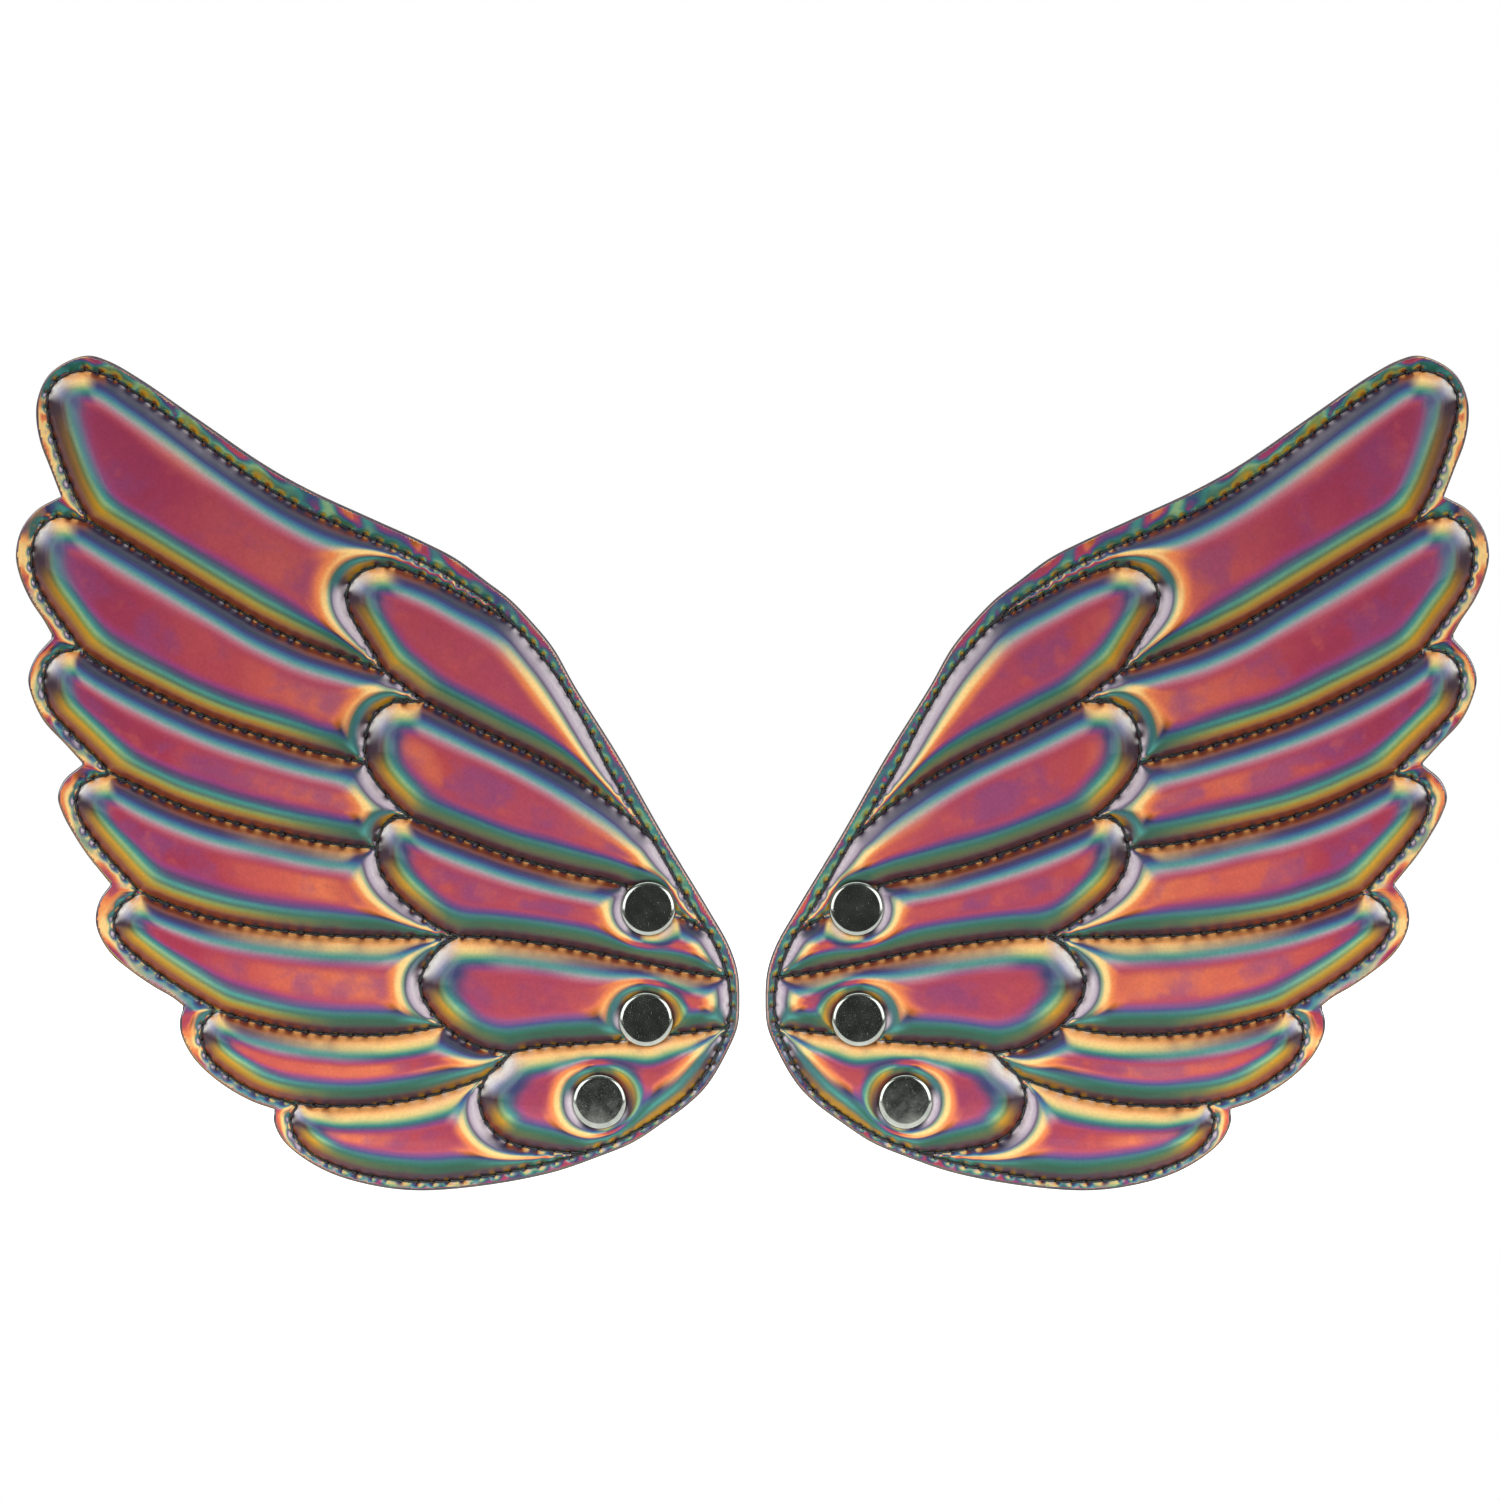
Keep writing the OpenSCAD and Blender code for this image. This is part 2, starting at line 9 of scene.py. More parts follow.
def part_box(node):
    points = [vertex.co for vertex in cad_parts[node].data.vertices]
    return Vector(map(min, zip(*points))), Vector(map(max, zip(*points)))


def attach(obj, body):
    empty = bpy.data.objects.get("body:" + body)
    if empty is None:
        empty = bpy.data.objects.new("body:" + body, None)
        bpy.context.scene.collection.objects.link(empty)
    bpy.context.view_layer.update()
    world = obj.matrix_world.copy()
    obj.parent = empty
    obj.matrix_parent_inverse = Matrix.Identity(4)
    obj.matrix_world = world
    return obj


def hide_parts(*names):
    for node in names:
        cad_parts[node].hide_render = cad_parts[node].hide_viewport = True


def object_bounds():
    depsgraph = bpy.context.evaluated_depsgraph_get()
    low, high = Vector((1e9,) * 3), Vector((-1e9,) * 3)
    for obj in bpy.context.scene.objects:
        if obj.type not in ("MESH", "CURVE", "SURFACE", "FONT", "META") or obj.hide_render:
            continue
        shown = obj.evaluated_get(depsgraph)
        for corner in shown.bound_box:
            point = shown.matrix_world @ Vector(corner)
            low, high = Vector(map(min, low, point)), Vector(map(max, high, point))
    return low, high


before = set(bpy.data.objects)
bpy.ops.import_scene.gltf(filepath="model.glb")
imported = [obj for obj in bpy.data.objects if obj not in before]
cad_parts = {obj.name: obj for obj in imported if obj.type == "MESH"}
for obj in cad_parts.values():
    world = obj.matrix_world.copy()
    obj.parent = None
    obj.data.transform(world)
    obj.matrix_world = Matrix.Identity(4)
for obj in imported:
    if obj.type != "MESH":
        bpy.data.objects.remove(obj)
cad_low, cad_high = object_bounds()

# ---- Sizes, in millimetres. A wing is drawn flat: u out from the middle, v up, and t from the
# lining's rear face towards the shiny front.
SIDES = {"left": -1, "right": 1}  # which way along x each wing's u runs
LEVELS = ("upper", "middle", "lower")
PITCH = 3.5  # length of one stitch
THREAD_R = 0.25
STEP = 0.25  # spacing of the points along each line
GRID, FOAM_GRID, LINING_GRID = 0.45, 1.2, 0.8  # spacing of the film's, foam's and lining's meshes
FILM_INSET, FOAM_INSET = 0.35, 0.5  # how far inside the cut edge the film's and foam's borders are
HOLE_R = 2.0  # the hole for a snap's post
ROLL = 2.6  # how far from a seam the padding takes to rise
PINCH = 0.35  # how near to a seam the film is held flat by the thread
CAP_EDGE = 0.9  # how far inside its rim a cap holds the film flat
FLANGE_H, FLANGE_ROLL = 1.05, 2.0  # how high the border outside the stitching lifts, and how soon
FILM_DENT, FLANGE_DENT, LINING_DENT = 0.5, 0.35, 0.22  # how deep a needle hole pulls each sheet
FOAM_GAP = 0.15  # how far under the film the foam stays
FOAM_LEAST, FOAM_OFF = 0.25, 0.02  # how near the lining the foam's front and rear faces come
BULGE = 0.5  # how far the lining swells out between the seams
LIP = 0.35  # how far behind the valleys the film's cut edge turns down


def low(node):
    return [1000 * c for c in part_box(node)[0]]


def high(node):
    return [1000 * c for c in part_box(node)[1]]


REAR = high("left_back_panel")[1]  # y of the lining's rear face
LINING_T = REAR - low("left_back_panel")[1]
VALLEY_T = REAR - high("left_outline_stitching")[1]  # the film along the seams
CROWN = REAR - low("left_front_film")[1] - VALLEY_T
CAP_TOP_T = REAR - low("left_upper_cap")[1]
SOCKET_H = high("left_upper_socket")[1] - REAR
LIP_T = VALLEY_T - LIP


def snap_place(level):
    a, b = low(f"right_{level}_cap"), high(f"right_{level}_cap")
    return ((a[0] + b[0]) / 2, (a[2] + b[2]) / 2)


SNAPS = {level: snap_place(level) for level in LEVELS}
CAP_R = (high("right_upper_cap")[0] - low("right_upper_cap")[0]) / 2
SOCKET_R = (high("right_upper_socket")[0] - low("right_upper_socket")[0]) / 2

# ---- The cut edge of one wing, run by run between its notches, as the part's source draws it.
EDGE_ROOT = [
    (156.1, 118), (158.8, 125), (160.7, 130), (161.7, 135.5), (161.4, 140), (159.2, 145),
    (155.2, 148.2), (150, 149.8), (145.5, 148.6), (139, 145), (124.5, 135), (110, 125.1), (100, 119.5),
    (85, 112.6), (75, 108.1), (67, 104), (60, 98.8), (55, 95), (50, 89.9), (45, 83.8), (40, 75),
    (30, 59), (20, 41.4), (10, 24.9), (5.2, 16.4), (3.3, 10.5), (2.9, 4.5), (3.3, -1.5), (5.4, -6.8),
    (10, -14.7), (14.2, -19), (20, -23.3), (27, -27.9), (35, -31.2), (45, -34.6), (60, -37.5),
    (75, -38.7), (85, -37.7), (95, -34.9), (102, -31), (106.3, -27), (108.1, -22.8)]
EDGE_6 = [
    (107.8, -20.4), (112.5, -18.8), (117.5, -16.2), (122.6, -12.5), (126.7, -8.1), (129.1, -3),
    (129.2, 0.3)]
EDGE_5 = [
    (128.3, 2.8), (131, 4.9), (135, 7.2), (140, 10.6), (144.6, 14.5), (147.4, 18.8), (148.3, 22.5),
    (147.4, 26.8)]
EDGE_4 = [(144.9, 30.4), (150, 36.8), (153, 41.3), (155.8, 46.5), (156.8, 50.2), (155.4, 53.9)]
EDGE_3 = [(151.1, 57.6), (155, 61.9), (160, 67.3), (162.5, 72.3), (163.5, 76.8), (162, 81.4)]
EDGE_2 = [
    (157.9, 86.3), (160, 90), (163.1, 94.7), (165.5, 100.3), (166.3, 105), (165, 110.6), (161.5, 115)]
TIP_1 = [
    (150.7, 146.6), (156.2, 144.8), (159, 141.2), (159.1, 136.9), (157.3, 129.7), (155, 123.2),
    (152.8, 118)]
TIP_2 = [
    (149.5, 112.3), (153.2, 113.2), (157.6, 113.3), (161.3, 110.2), (162.7, 105.5), (162.2, 100.1),
    (160.4, 96), (156.8, 90.8)]
TIP_3 = [
    (151.1, 83), (153.5, 83.4), (157, 82.3), (159.4, 79.5), (160, 75.2), (158.4, 69.8), (154.3, 65.2),
    (149.5, 60.4)]
TIP_4 = [
    (144.6, 55.4), (149, 54.3), (151.9, 52.3), (152.8, 49.5), (152, 45.6), (148.3, 40.1), (143.2, 34.1)]
TIP_5 = [
    (137.8, 28.5), (141, 27.1), (143.4, 24.4), (144.3, 21.3), (142.5, 17.6), (138.9, 14.2),
    (133.7, 10.2), (126.9, 5.8)]
TIP_6 = [
    (120.1, 1.8), (122.7, 0.8), (124.3, -2), (124.3, -5.5), (122.2, -9.3), (118.6, -12.4),
    (113.4, -15.8), (107.5, -18)]
TIP_7 = [
    (102.5, -19), (104, -21.2), (104.3, -24), (102.3, -27.8), (98.4, -31.1), (90, -34.5), (80, -36.3),
    (70, -36.6), (60, -35.4), (50, -33.4), (43, -31.7)]
SEAM_12 = [
    (149.5, 112.3), (140, 106.7), (130, 100.7), (120, 94.7), (110, 88.9), (100, 84.4), (90, 81),
    (83, 78.5)]
SEAM_23 = [
    (151.1, 83), (145.3, 79.2), (130, 71.3), (120, 67), (110, 63.7), (100, 60.7), (91.3, 58.7),
    (87.1, 57.7)]
SEAM_34 = [
    (144.6, 55.4), (140, 53.2), (130, 48.6), (120, 45.2), (110, 42.7), (100, 40.5), (92, 39.2),
    (84.8, 38.7)]
SEAM_45 = [
    (137.8, 28.5), (130, 25.3), (120, 22.3), (110, 20.5), (100, 19.3), (90, 18.7), (78, 18.5),
    (66.6, 18.6)]
SEAM_56 = [(120.1, 1.8), (115, 0.2), (110, -1.1), (100, -2.9), (90, -3.6), (80, -3.3), (69.7, -1.4)]
SEAM_67 = [(102.5, -19), (95, -19.6), (85, -19.3), (75, -17.8), (67, -15.6), (60.1, -13)]
INNER_1A = [
    (53.5, 88.8), (57, 91.2), (64.3, 95.1), (71.8, 98.9), (77.4, 101.1), (83, 102.4), (88.3, 100.9),
    (91.4, 97.3), (91.5, 93.4), (89.8, 89.7), (86, 83.4)]
INNER_1B = [(83, 78.5), (79.3, 75.7)]
INNER_2A = [(74.5, 71.9), (77, 71.5), (80, 71.8), (83.5, 70.2), (86.3, 67), (87.4, 62.7)]
INNER_2B = [(87.1, 57.7), (85.5, 54.4), (81.6, 49.6)]
INNER_3A = [(77.2, 45.5), (81.2, 45.2), (83.7, 42.9)]
INNER_3B = [(84.8, 38.7), (84.4, 34.5), (81.9, 30), (77.4, 25.4), (71.8, 21.2)]
INNER_4A = [(66.6, 18.6), (70, 16.6), (73.3, 12.7), (75.1, 8.5), (74.2, 4.5)]
INNER_4B = [(69.7, -1.4), (66.3, -3.9), (61, -6.5)]
INNER_5A = [(54.5, -7.6), (57.5, -10.9)]
INNER_5B = [(60.1, -13), (61.7, -17), (61.2, -21), (59.1, -24.7), (55, -27.7), (50, -29), (43.8, -29.9)]
ROOT_12 = [
    (74.5, 71.9), (70, 69.6), (60, 64.6), (50, 59.9), (45, 57.3), (40, 54.4), (35, 51), (30, 47.3)]
ROOT_23 = [(77.2, 45.5), (70, 42.5), (60, 38.7), (50, 35.4), (40, 32.8), (30, 30.6)]
ROOT_23B = [(17.2, 23.8), (14.5, 22.3)]
ROOT_34 = [(66.6, 18.6), (60, 18.5), (50, 17.4), (40, 15.9), (30, 13.9), (20, 11.8), (11, 10.1)]
ROOT_45 = [(54.5, -7.6), (50, -6.5), (45, -5.9), (38, -5.5), (30.2, -4.9)]
ROOT_45B = [(17.6, -3.4), (10, -2.4)]
RIM_5 = [(37.5, -30.1), (30, -27.3), (20, -21.4), (14.5, -17), (9.7, -10.8), (6.8, -4.8)]
RIM_4 = [(5.6, -1.8), (4.9, 3), (5.1, 6.5)]
RIM_3 = [(5.6, 9.6), (7.6, 15)]
RIM_2 = [(10, 19.7), (13.6, 25.2), (16.9, 30.8), (20, 36.3)]
RIM_1 = [
    (22.4, 40.4), (25, 44.3), (27.6, 48.4), (32.7, 56.8), (37.8, 66.8), (41.8, 73.7), (45, 78.7),
    (49.3, 84)]
TOP_RUN = [
    (53.5, 88.8), (56.8, 92), (60, 94.5), (65, 97.7), (70, 101), (75, 103.4), (80, 105.8), (90, 110.2),
    (100, 114.6), (110, 120.3), (120, 127.3), (130, 134.9), (139.3, 141.4), (145.3, 145.2)]


# ---- Curves through the runs.
def bend(a, b, c, d, s):
    """A point on the centripetal Catmull-Rom curve from b to c."""
    t1 = max(0.01, math.sqrt(np.linalg.norm(b - a)))
    t2 = t1 + max(0.01, math.sqrt(np.linalg.norm(c - b)))
    t3 = t2 + max(0.01, math.sqrt(np.linalg.norm(d - c)))
    t = t1 + s * (t2 - t1)
    p = ((t1 - t) * a + t * b) / t1
    q = ((t2 - t) * b + (t - t1) * c) / (t2 - t1)
    r = ((t3 - t) * c + (t - t2) * d) / (t3 - t2)
    u = ((t2 - t) * p + t * q) / t2
    v = ((t3 - t) * q + (t - t1) * r) / (t3 - t1)
    return ((t2 - t) * u + (t - t1) * v) / (t2 - t1)


def curve(run):
    """Points along the curve through a run, without its last point."""
    p = [np.array(x, float) for x in run]
    m = len(p) - 1
    out = []
    for i in range(m):
        a = 2 * p[0] - p[1] if i == 0 else p[i - 1]
        d = 2 * p[m] - p[m - 1] if i + 2 > m else p[i + 2]
        n = math.ceil(np.linalg.norm(p[i + 1] - p[i]) / STEP)
        out += [bend(a, p[i], p[i + 1], d, k / n) for k in range(n)]
    return out


def full(run):
    """Points along the curve through a run, with its last point."""
    return np.array(curve(run) + [np.array(run[-1], float)])


def joined(runs):
    """Runs joined end to end into one closed loop."""
    out = []
    for i, run in enumerate(runs):
        out += curve(run + [runs[(i + 1) % len(runs)][0]])
    return np.array(out)


edge = joined([EDGE_ROOT, EDGE_6, EDGE_5, EDGE_4, EDGE_3, EDGE_2])
root_side = RIM_5 + RIM_4 + RIM_3 + RIM_2 + RIM_1 + TOP_RUN
border = joined([root_side, TIP_1, TIP_2, TIP_3, TIP_4, TIP_5, TIP_6, TIP_7])


def inner_line(tip, after, root):
    """The stitching round an inner feather's tip and on to the root."""
    return np.array(curve(tip + [after[0]]) + list(full(root)))


SEAMS = {
    "border": np.vstack([border, border[:1]]),
    "seam_12": full(SEAM_12),
    "seam_23": full(SEAM_23),
    "seam_34": full(SEAM_34),
    "seam_45": full(SEAM_45),
    "seam_56": full(SEAM_56),
    "seam_67": full(SEAM_67),
    "inner_1": inner_line(INNER_1A + INNER_1B, INNER_2A, ROOT_12 + [RIM_1[0]]),
    "inner_2": inner_line(INNER_2A + INNER_2B, INNER_3A, ROOT_23 + ROOT_23B + [RIM_2[0]]),
    "inner_3": inner_line(INNER_3A + INNER_3B, INNER_4A, ROOT_34 + [RIM_3[0]]),
    "inner_4": inner_line(INNER_4A + INNER_4B, INNER_5A, ROOT_45 + ROOT_45B + [RIM_4[0]]),
    "inner_5": full(INNER_5A + INNER_5B + [RIM_5[0]]),
}


def lengths(path):
    """The distance along a path to each of its points."""
    return np.concatenate([[0], np.cumsum(np.linalg.norm(np.diff(path, axis=0), axis=1))])


def along(path, s):
    """Points at distances s along a path."""
    run = lengths(path)
    return np.stack([np.interp(s, run, path[:, 0]), np.interp(s, run, path[:, 1])], axis=1)


def unit(v):
    """Vectors of length one, the same way as those given."""
    return v / np.maximum(1e-9, np.linalg.norm(v, axis=-1, keepdims=True))


def inside(points, loop):
    """Which points lie inside a closed loop."""
    out = np.zeros(len(points), bool)
    x, y = points[:, 0], points[:, 1]
    for a, b in zip(loop, np.roll(loop, -1, axis=0)):
        if a[1] != b[1]:
            hit = ((a[1] > y) != (b[1] > y)) & (x < (b[0] - a[0]) * (y - a[1]) / (b[1] - a[1]) + a[0])
            out ^= hit
    return out


# ---- How far each point of the wing is from the nearest stitching, and where along it.
def seam_samples():
    """Points along every seam, the count of stitches to each, and the number of its seam. Each
    seam holds a whole number of stitches."""
    points, where, tag = [], [], []
    for k, path in enumerate(SEAMS.values()):
        run = lengths(path)
        stitches = max(1, round(run[-1] / PITCH))
        points.append(path)
        where.append(run / run[-1] * stitches)
        tag.append(np.full(len(path), k))
    return np.vstack(points), np.concatenate(where), np.concatenate(tag)


def nearest_on(points, line, tags=None):
    """Distance to a polyline, and the index and share of the nearest piece of it."""
    tree = KDTree(len(line))
    for i, p in enumerate(line):
        tree.insert((p[0], p[1], 0), i)
    tree.balance()
    near = np.array([tree.find((p[0], p[1], 0))[1] for p in points])
    best = np.linalg.norm(points - line[near], axis=1)
    index, share = near.copy(), np.zeros(len(points))
    for shift in (-1, 0):
        i = np.clip(near + shift, 0, len(line) - 2)
        a, b = line[i], line[i + 1]
        if tags is not None:
            whole = tags[i] == tags[i + 1]
        else:
            whole = np.ones(len(i), bool)
        e = b - a
        s = np.clip(((points - a) * e).sum(1) / np.maximum(1e-9, (e * e).sum(1)), 0, 1)
        d = np.linalg.norm(points - a - s[:, None] * e, axis=1)
        closer = whole & (d <= best)
        best[closer], index[closer], share[closer] = d[closer], i[closer], s[closer]
    return best, index, share


def ripple(points, size, seed, waves=7):
    """A smooth, gently irregular pattern of about that wavelength, from -1 to 1."""
    rng = np.random.default_rng(seed)
    turn = rng.uniform(0, 2 * math.pi, waves)
    phase = rng.uniform(0, 2 * math.pi, waves)
    scale = size * rng.uniform(0.75, 1.4, waves)
    out = sum(
        np.sin(2 * math.pi * (points[:, 0] * math.cos(a) + points[:, 1] * math.sin(a)) / w + f)
        for a, f, w in zip(turn, phase, scale))
    return out / math.sqrt(waves * 2)


# ---- The quilted surface: a sheet held down by the stitching and pushed up by the padding.
LOW_U, LOW_V, WIDE_U, WIDE_V = 0.0, -42.0, 170.0, 196.0  # a rectangle round the wing
grid_u = np.arange(LOW_U, LOW_U + WIDE_U, GRID)
grid_v = np.arange(LOW_V, LOW_V + WIDE_V, GRID)
mesh_u, mesh_v = np.meshgrid(grid_u, grid_v, indexing="ij")
SHAPE = mesh_u.shape
nodes = np.stack([mesh_u.ravel(), mesh_v.ravel()], axis=1)

samples, sample_stitch, sample_tag = seam_samples()
seam_d, seam_i, seam_s = nearest_on(nodes, samples, sample_tag)
next_i = np.clip(seam_i + 1, 0, len(samples) - 1)
stitch_at = sample_stitch[seam_i] * (1 - seam_s) + sample_stitch[next_i] * seam_s
padded_in = inside(nodes, border[::4])  # inside the outline's stitching
snap_d = np.min([np.linalg.norm(nodes - np.array(p), axis=1) for p in SNAPS.values()], axis=0)


def smooth_step(x, a, b):
    """0 up to a, 1 from b on, and a smooth rise between."""
    s = np.clip((x - a) / (b - a), 0, 1)
    return s * s * (3 - 2 * s)


def blur(field, rounds):
    """Averages a field with its neighbours, again and again."""
    f = field.reshape(SHAPE).copy()
    for _ in range(rounds):
        for axis in (0, 1):
            f = (np.roll(f, 1, axis) + 2 * f + np.roll(f, -1, axis)) / 4
    return f.ravel()


def relax(aim, held, rounds=160, haste=1.7):
    """Settles a stretched sheet that is pushed towards aim and held at zero where held."""
    k = (ROLL / GRID) ** 2
    z = np.where(held, 0, aim).reshape(SHAPE)
    aim, held = aim.reshape(SHAPE), held.reshape(SHAPE)
    odd = (np.add.outer(np.arange(SHAPE[0]), np.arange(SHAPE[1])) % 2).astype(bool)
    for _ in range(rounds):
        for colour in (odd, ~odd):
            around = np.zeros(SHAPE)
            around[1:-1, 1:-1] = z[2:, 1:-1] + z[:-2, 1:-1] + z[1:-1, 2:] + z[1:-1, :-2]
            new = (k * around + aim) / (4 * k + 1)
            step = colour & ~held
            z[step] += haste * (new[step] - z[step])
    return z.ravel()


def rise_from_seam(roll):
    """How far the sheet has risen at each node, from 0 at the thread to 1."""
    return 1 - np.exp(-np.maximum(0, seam_d - THREAD_R) / roll)


def quilt(aim, rounds=8):
    """The settled sheet, with a clean smooth valley along each line of stitching. The valley is as
    high as the sheet beside it, averaged along the seam."""
    rise = rise_from_seam(ROLL)
    z = relax(aim, (seam_d < PINCH) | (snap_d < CAP_R - CAP_EDGE))
    beside = ((seam_d > 0.9) & (seam_d < ROLL)).astype(float)
    ratio = np.where(beside > 0, z / np.maximum(0.05, rise), 0)
    spread = blur(beside, rounds)
    near = blur(ratio, rounds) / np.maximum(1e-3, spread)
    near = np.where(spread > 0.02, near, 0.5 * np.max(aim))
    share = smooth_step(seam_d, 0.7, 1.9)
    near_z = near * rise * smooth_step(snap_d, CAP_R - 1, CAP_R + 1.5)
    return share * z + (1 - share) * near_z


# Each needle hole pulls by its own amount. stitch_key numbers the holes of all the seams.
DENT_KEYS, MOST_HOLES = 4000, 300  # how many amounts, and how many holes a seam can have
jitter = np.random.default_rng(11)
dents = 1 + 0.35 * jitter.standard_normal(DENT_KEYS)
stitch_key = (np.rint(stitch_at) + MOST_HOLES * sample_tag[seam_i]).astype(int)
to_hole = (stitch_at - np.rint(stitch_at)) * PITCH
dent = np.clip(dents[stitch_key], 0.35, 1.7)


def puckers(depth, reach, width=0.6):
    """The dent that each needle hole pulls into the sheet, and the small ridge between two."""
    hole = np.exp(-((to_hole / width) ** 2) - (seam_d / reach) ** 2)
    between = ((np.abs(to_hole) - PITCH / 2) / width) ** 2
    ridge = np.exp(-between - ((seam_d - width) / 0.4) ** 2)
    return -depth * dent * hole + 0.25 * depth * dent * ridge


# The flange, outside the outline's stitching, waves a little, and less towards the root.
waves = 0.5 + 0.5 * ripple(nodes, 10.0, 3)
doming = 0.9 + 0.1 * (1 - np.exp(-seam_d / 7)) + 0.02 * ripple(nodes, 16, 5)
flange = FLANGE_H * (0.5 + 0.9 * waves) * (0.55 + 0.45 * smooth_step(nodes[:, 0], 45, 90))
aim = np.where(padded_in, CROWN * doming, flange)
film_z = np.where(padded_in, quilt(aim), aim * rise_from_seam(FLANGE_ROLL))
film_z += np.where(padded_in, puckers(FILM_DENT, 0.62), puckers(FLANGE_DENT, 0.6))
film_z = VALLEY_T + np.minimum(film_z, CROWN - 0.02)


def lowest_near(field, cells):
    """Each node's lowest value within that many cells of it."""
    f = field.reshape(SHAPE)
    for _ in range(cells):
        for axis in (0, 1):
            f = np.minimum(f, np.minimum(np.roll(f, 1, axis), np.roll(f, -1, axis)))
    return f.ravel()


foam_z = lowest_near(film_z, 3) - FOAM_GAP

lining_z = -BULGE * (1 - np.exp(-seam_d / 2.4)) * smooth_step(snap_d, SOCKET_R, SOCKET_R + 4)
lining_z = np.where(padded_in, lining_z, 0.4 * lining_z)
lining_z += LINING_DENT * dent * np.exp(-((to_hole / 0.8) ** 2) - seam_d ** 2)


def read(field, points):
    """A field's value at any points, between its grid's nodes."""
    f = field.reshape(SHAPE)
    x = np.clip((points[:, 0] - LOW_U) / GRID, 0, SHAPE[0] - 1.001)
    y = np.clip((points[:, 1] - LOW_V) / GRID, 0, SHAPE[1] - 1.001)
    i, j = x.astype(int), y.astype(int)
    a, b = x - i, y - j
    return (f[i, j] * (1 - a) * (1 - b) + f[i + 1, j] * a * (1 - b)
            + f[i, j + 1] * (1 - a) * b + f[i + 1, j + 1] * a * b)


# ---- Meshes cut to the wing's outline.
def signed_area(loop):
    """A closed loop's area, above zero where it runs anticlockwise."""
    u, v = loop[:, 0], loop[:, 1]
    return float((u * np.roll(v, -1) - np.roll(u, -1) * v).sum()) / 2


TURN = 1.0 if signed_area(edge) > 0 else -1.0  # points the cut edge's normals into the wing


def cut_mesh(spacing, inset):
    """A square mesh over the wing. Its border follows the cut edge, moved in by inset, and the
    snaps' holes. Returns its points, its cells and its directed border edges."""
    us = np.arange(LOW_U, LOW_U + WIDE_U, spacing)
    vs = np.arange(LOW_V, LOW_V + WIDE_V, spacing)
    gu, gv = np.meshgrid(us, vs, indexing="ij")
    mid = np.stack([gu[:-1, :-1].ravel(), gv[:-1, :-1].ravel()], axis=1) + spacing / 2
    keep = inside(mid, edge[::2])
    for p in SNAPS.values():
        keep &= np.linalg.norm(mid - np.array(p), axis=1) > HOLE_R
    keep = keep.reshape(len(us) - 1, len(vs) - 1)

    # Cells that only one neighbour holds on to are dropped.
    for _ in range(4):
        wide = np.pad(keep, 1)
        beside = (wide[2:, 1:-1].astype(int) + wide[:-2, 1:-1] + wide[1:-1, 2:] + wide[1:-1, :-2])
        keep &= beside > 1
    i, j = np.nonzero(keep)
    stride = len(vs)
    corner = i * stride + j
    cells = np.stack([corner, corner + stride, corner + stride + 1, corner + 1], 1)
    wide = np.pad(keep, 1)
    rim = []
    for column, (di, dj) in enumerate([(0, -1), (1, 0), (0, 1), (-1, 0)]):
        open_side = ~wide[i + 1 + di, j + 1 + dj]
        rim.append(np.stack([cells[open_side, column], cells[open_side, (column + 1) % 4]], 1))
    rim = np.vstack(rim)
    used, cells_new = np.unique(cells, return_inverse=True)
    cells = cells_new.reshape(-1, 4)
    rim = np.searchsorted(used, rim)
    p = np.stack([gu.ravel()[used], gv.ravel()[used]], axis=1)

    # The border's points move onto the cut edge and the holes.
    on_rim = np.zeros(len(p), bool)
    on_rim[rim.ravel()] = True
    moved = p[on_rim]
    loop = np.vstack([edge, edge[:1]])
    _, k, s = nearest_on(moved, loop)
    a, b = loop[k], loop[k + 1]
    along_edge = unit(b - a)
    inward = np.stack([-along_edge[:, 1], along_edge[:, 0]], 1) * TURN
    moved_in = a + s[:, None] * (b - a) + inset * inward
    for centre in SNAPS.values():
        away = p[on_rim] - np.array(centre)
        near = np.linalg.norm(away, axis=1) < HOLE_R + 2 * spacing
        moved_in[near] = np.array(centre) + HOLE_R * unit(away[near])
    p[on_rim] = moved_in

    # The points beside the border are evened out.
    near_rim = on_rim.copy()
    for _ in range(3):
        touched = near_rim[cells].any(axis=1)
        near_rim[cells[touched].ravel()] = True
    loose = near_rim & ~on_rim
    pairs = np.vstack([cells[:, [0, 1]], cells[:, [1, 2]], cells[:, [2, 3]], cells[:, [3, 0]]])
    pairs = np.unique(np.sort(pairs, axis=1), axis=0)
    pairs = pairs[loose[pairs].any(axis=1)]
    for _ in range(12):
        total, count = np.zeros_like(p), np.zeros(len(p))
        for one, two in ((0, 1), (1, 0)):
            np.add.at(total, pairs[:, one], p[pairs[:, two]])
            np.add.at(count, pairs[:, one], 1)
        p[loose] = total[loose] / count[loose, None]
    return p, cells, rim


def to_frame(points, t, side):
    """From a wing's flat millimetres to the row frame's metres."""
    return np.stack([side * points[:, 0], REAR - t, points[:, 1]], axis=1) / 1000


def make_piece(name, verts, faces, material, wing, node):
    """A smooth piece that rides on a wing's body and stands for a CAD node."""
    mesh = bpy.data.meshes.new(name)
    mesh.from_pydata([tuple(v) for v in np.asarray(verts).tolist()], [], faces)
    mesh.update()
    mesh.polygons.foreach_set("use_smooth", [True] * len(mesh.polygons))
    mesh.materials.append(material)
    piece = bpy.data.objects.new(name, mesh)
    bpy.context.scene.collection.objects.link(piece)
    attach(piece, f"{wing}_wing")
    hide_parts(node)
    return piece


def faced(faces, side):
    """Faces drawn anticlockwise from the front, turned over for the mirrored left wing."""
    f = np.asarray(faces)
    return (f if side > 0 else f[:, ::-1]).tolist()


# ---- Materials.
def new_material(name):
    m = bpy.data.materials.new(name)
    m.use_nodes = True
    m.node_tree.nodes.clear()
    return m


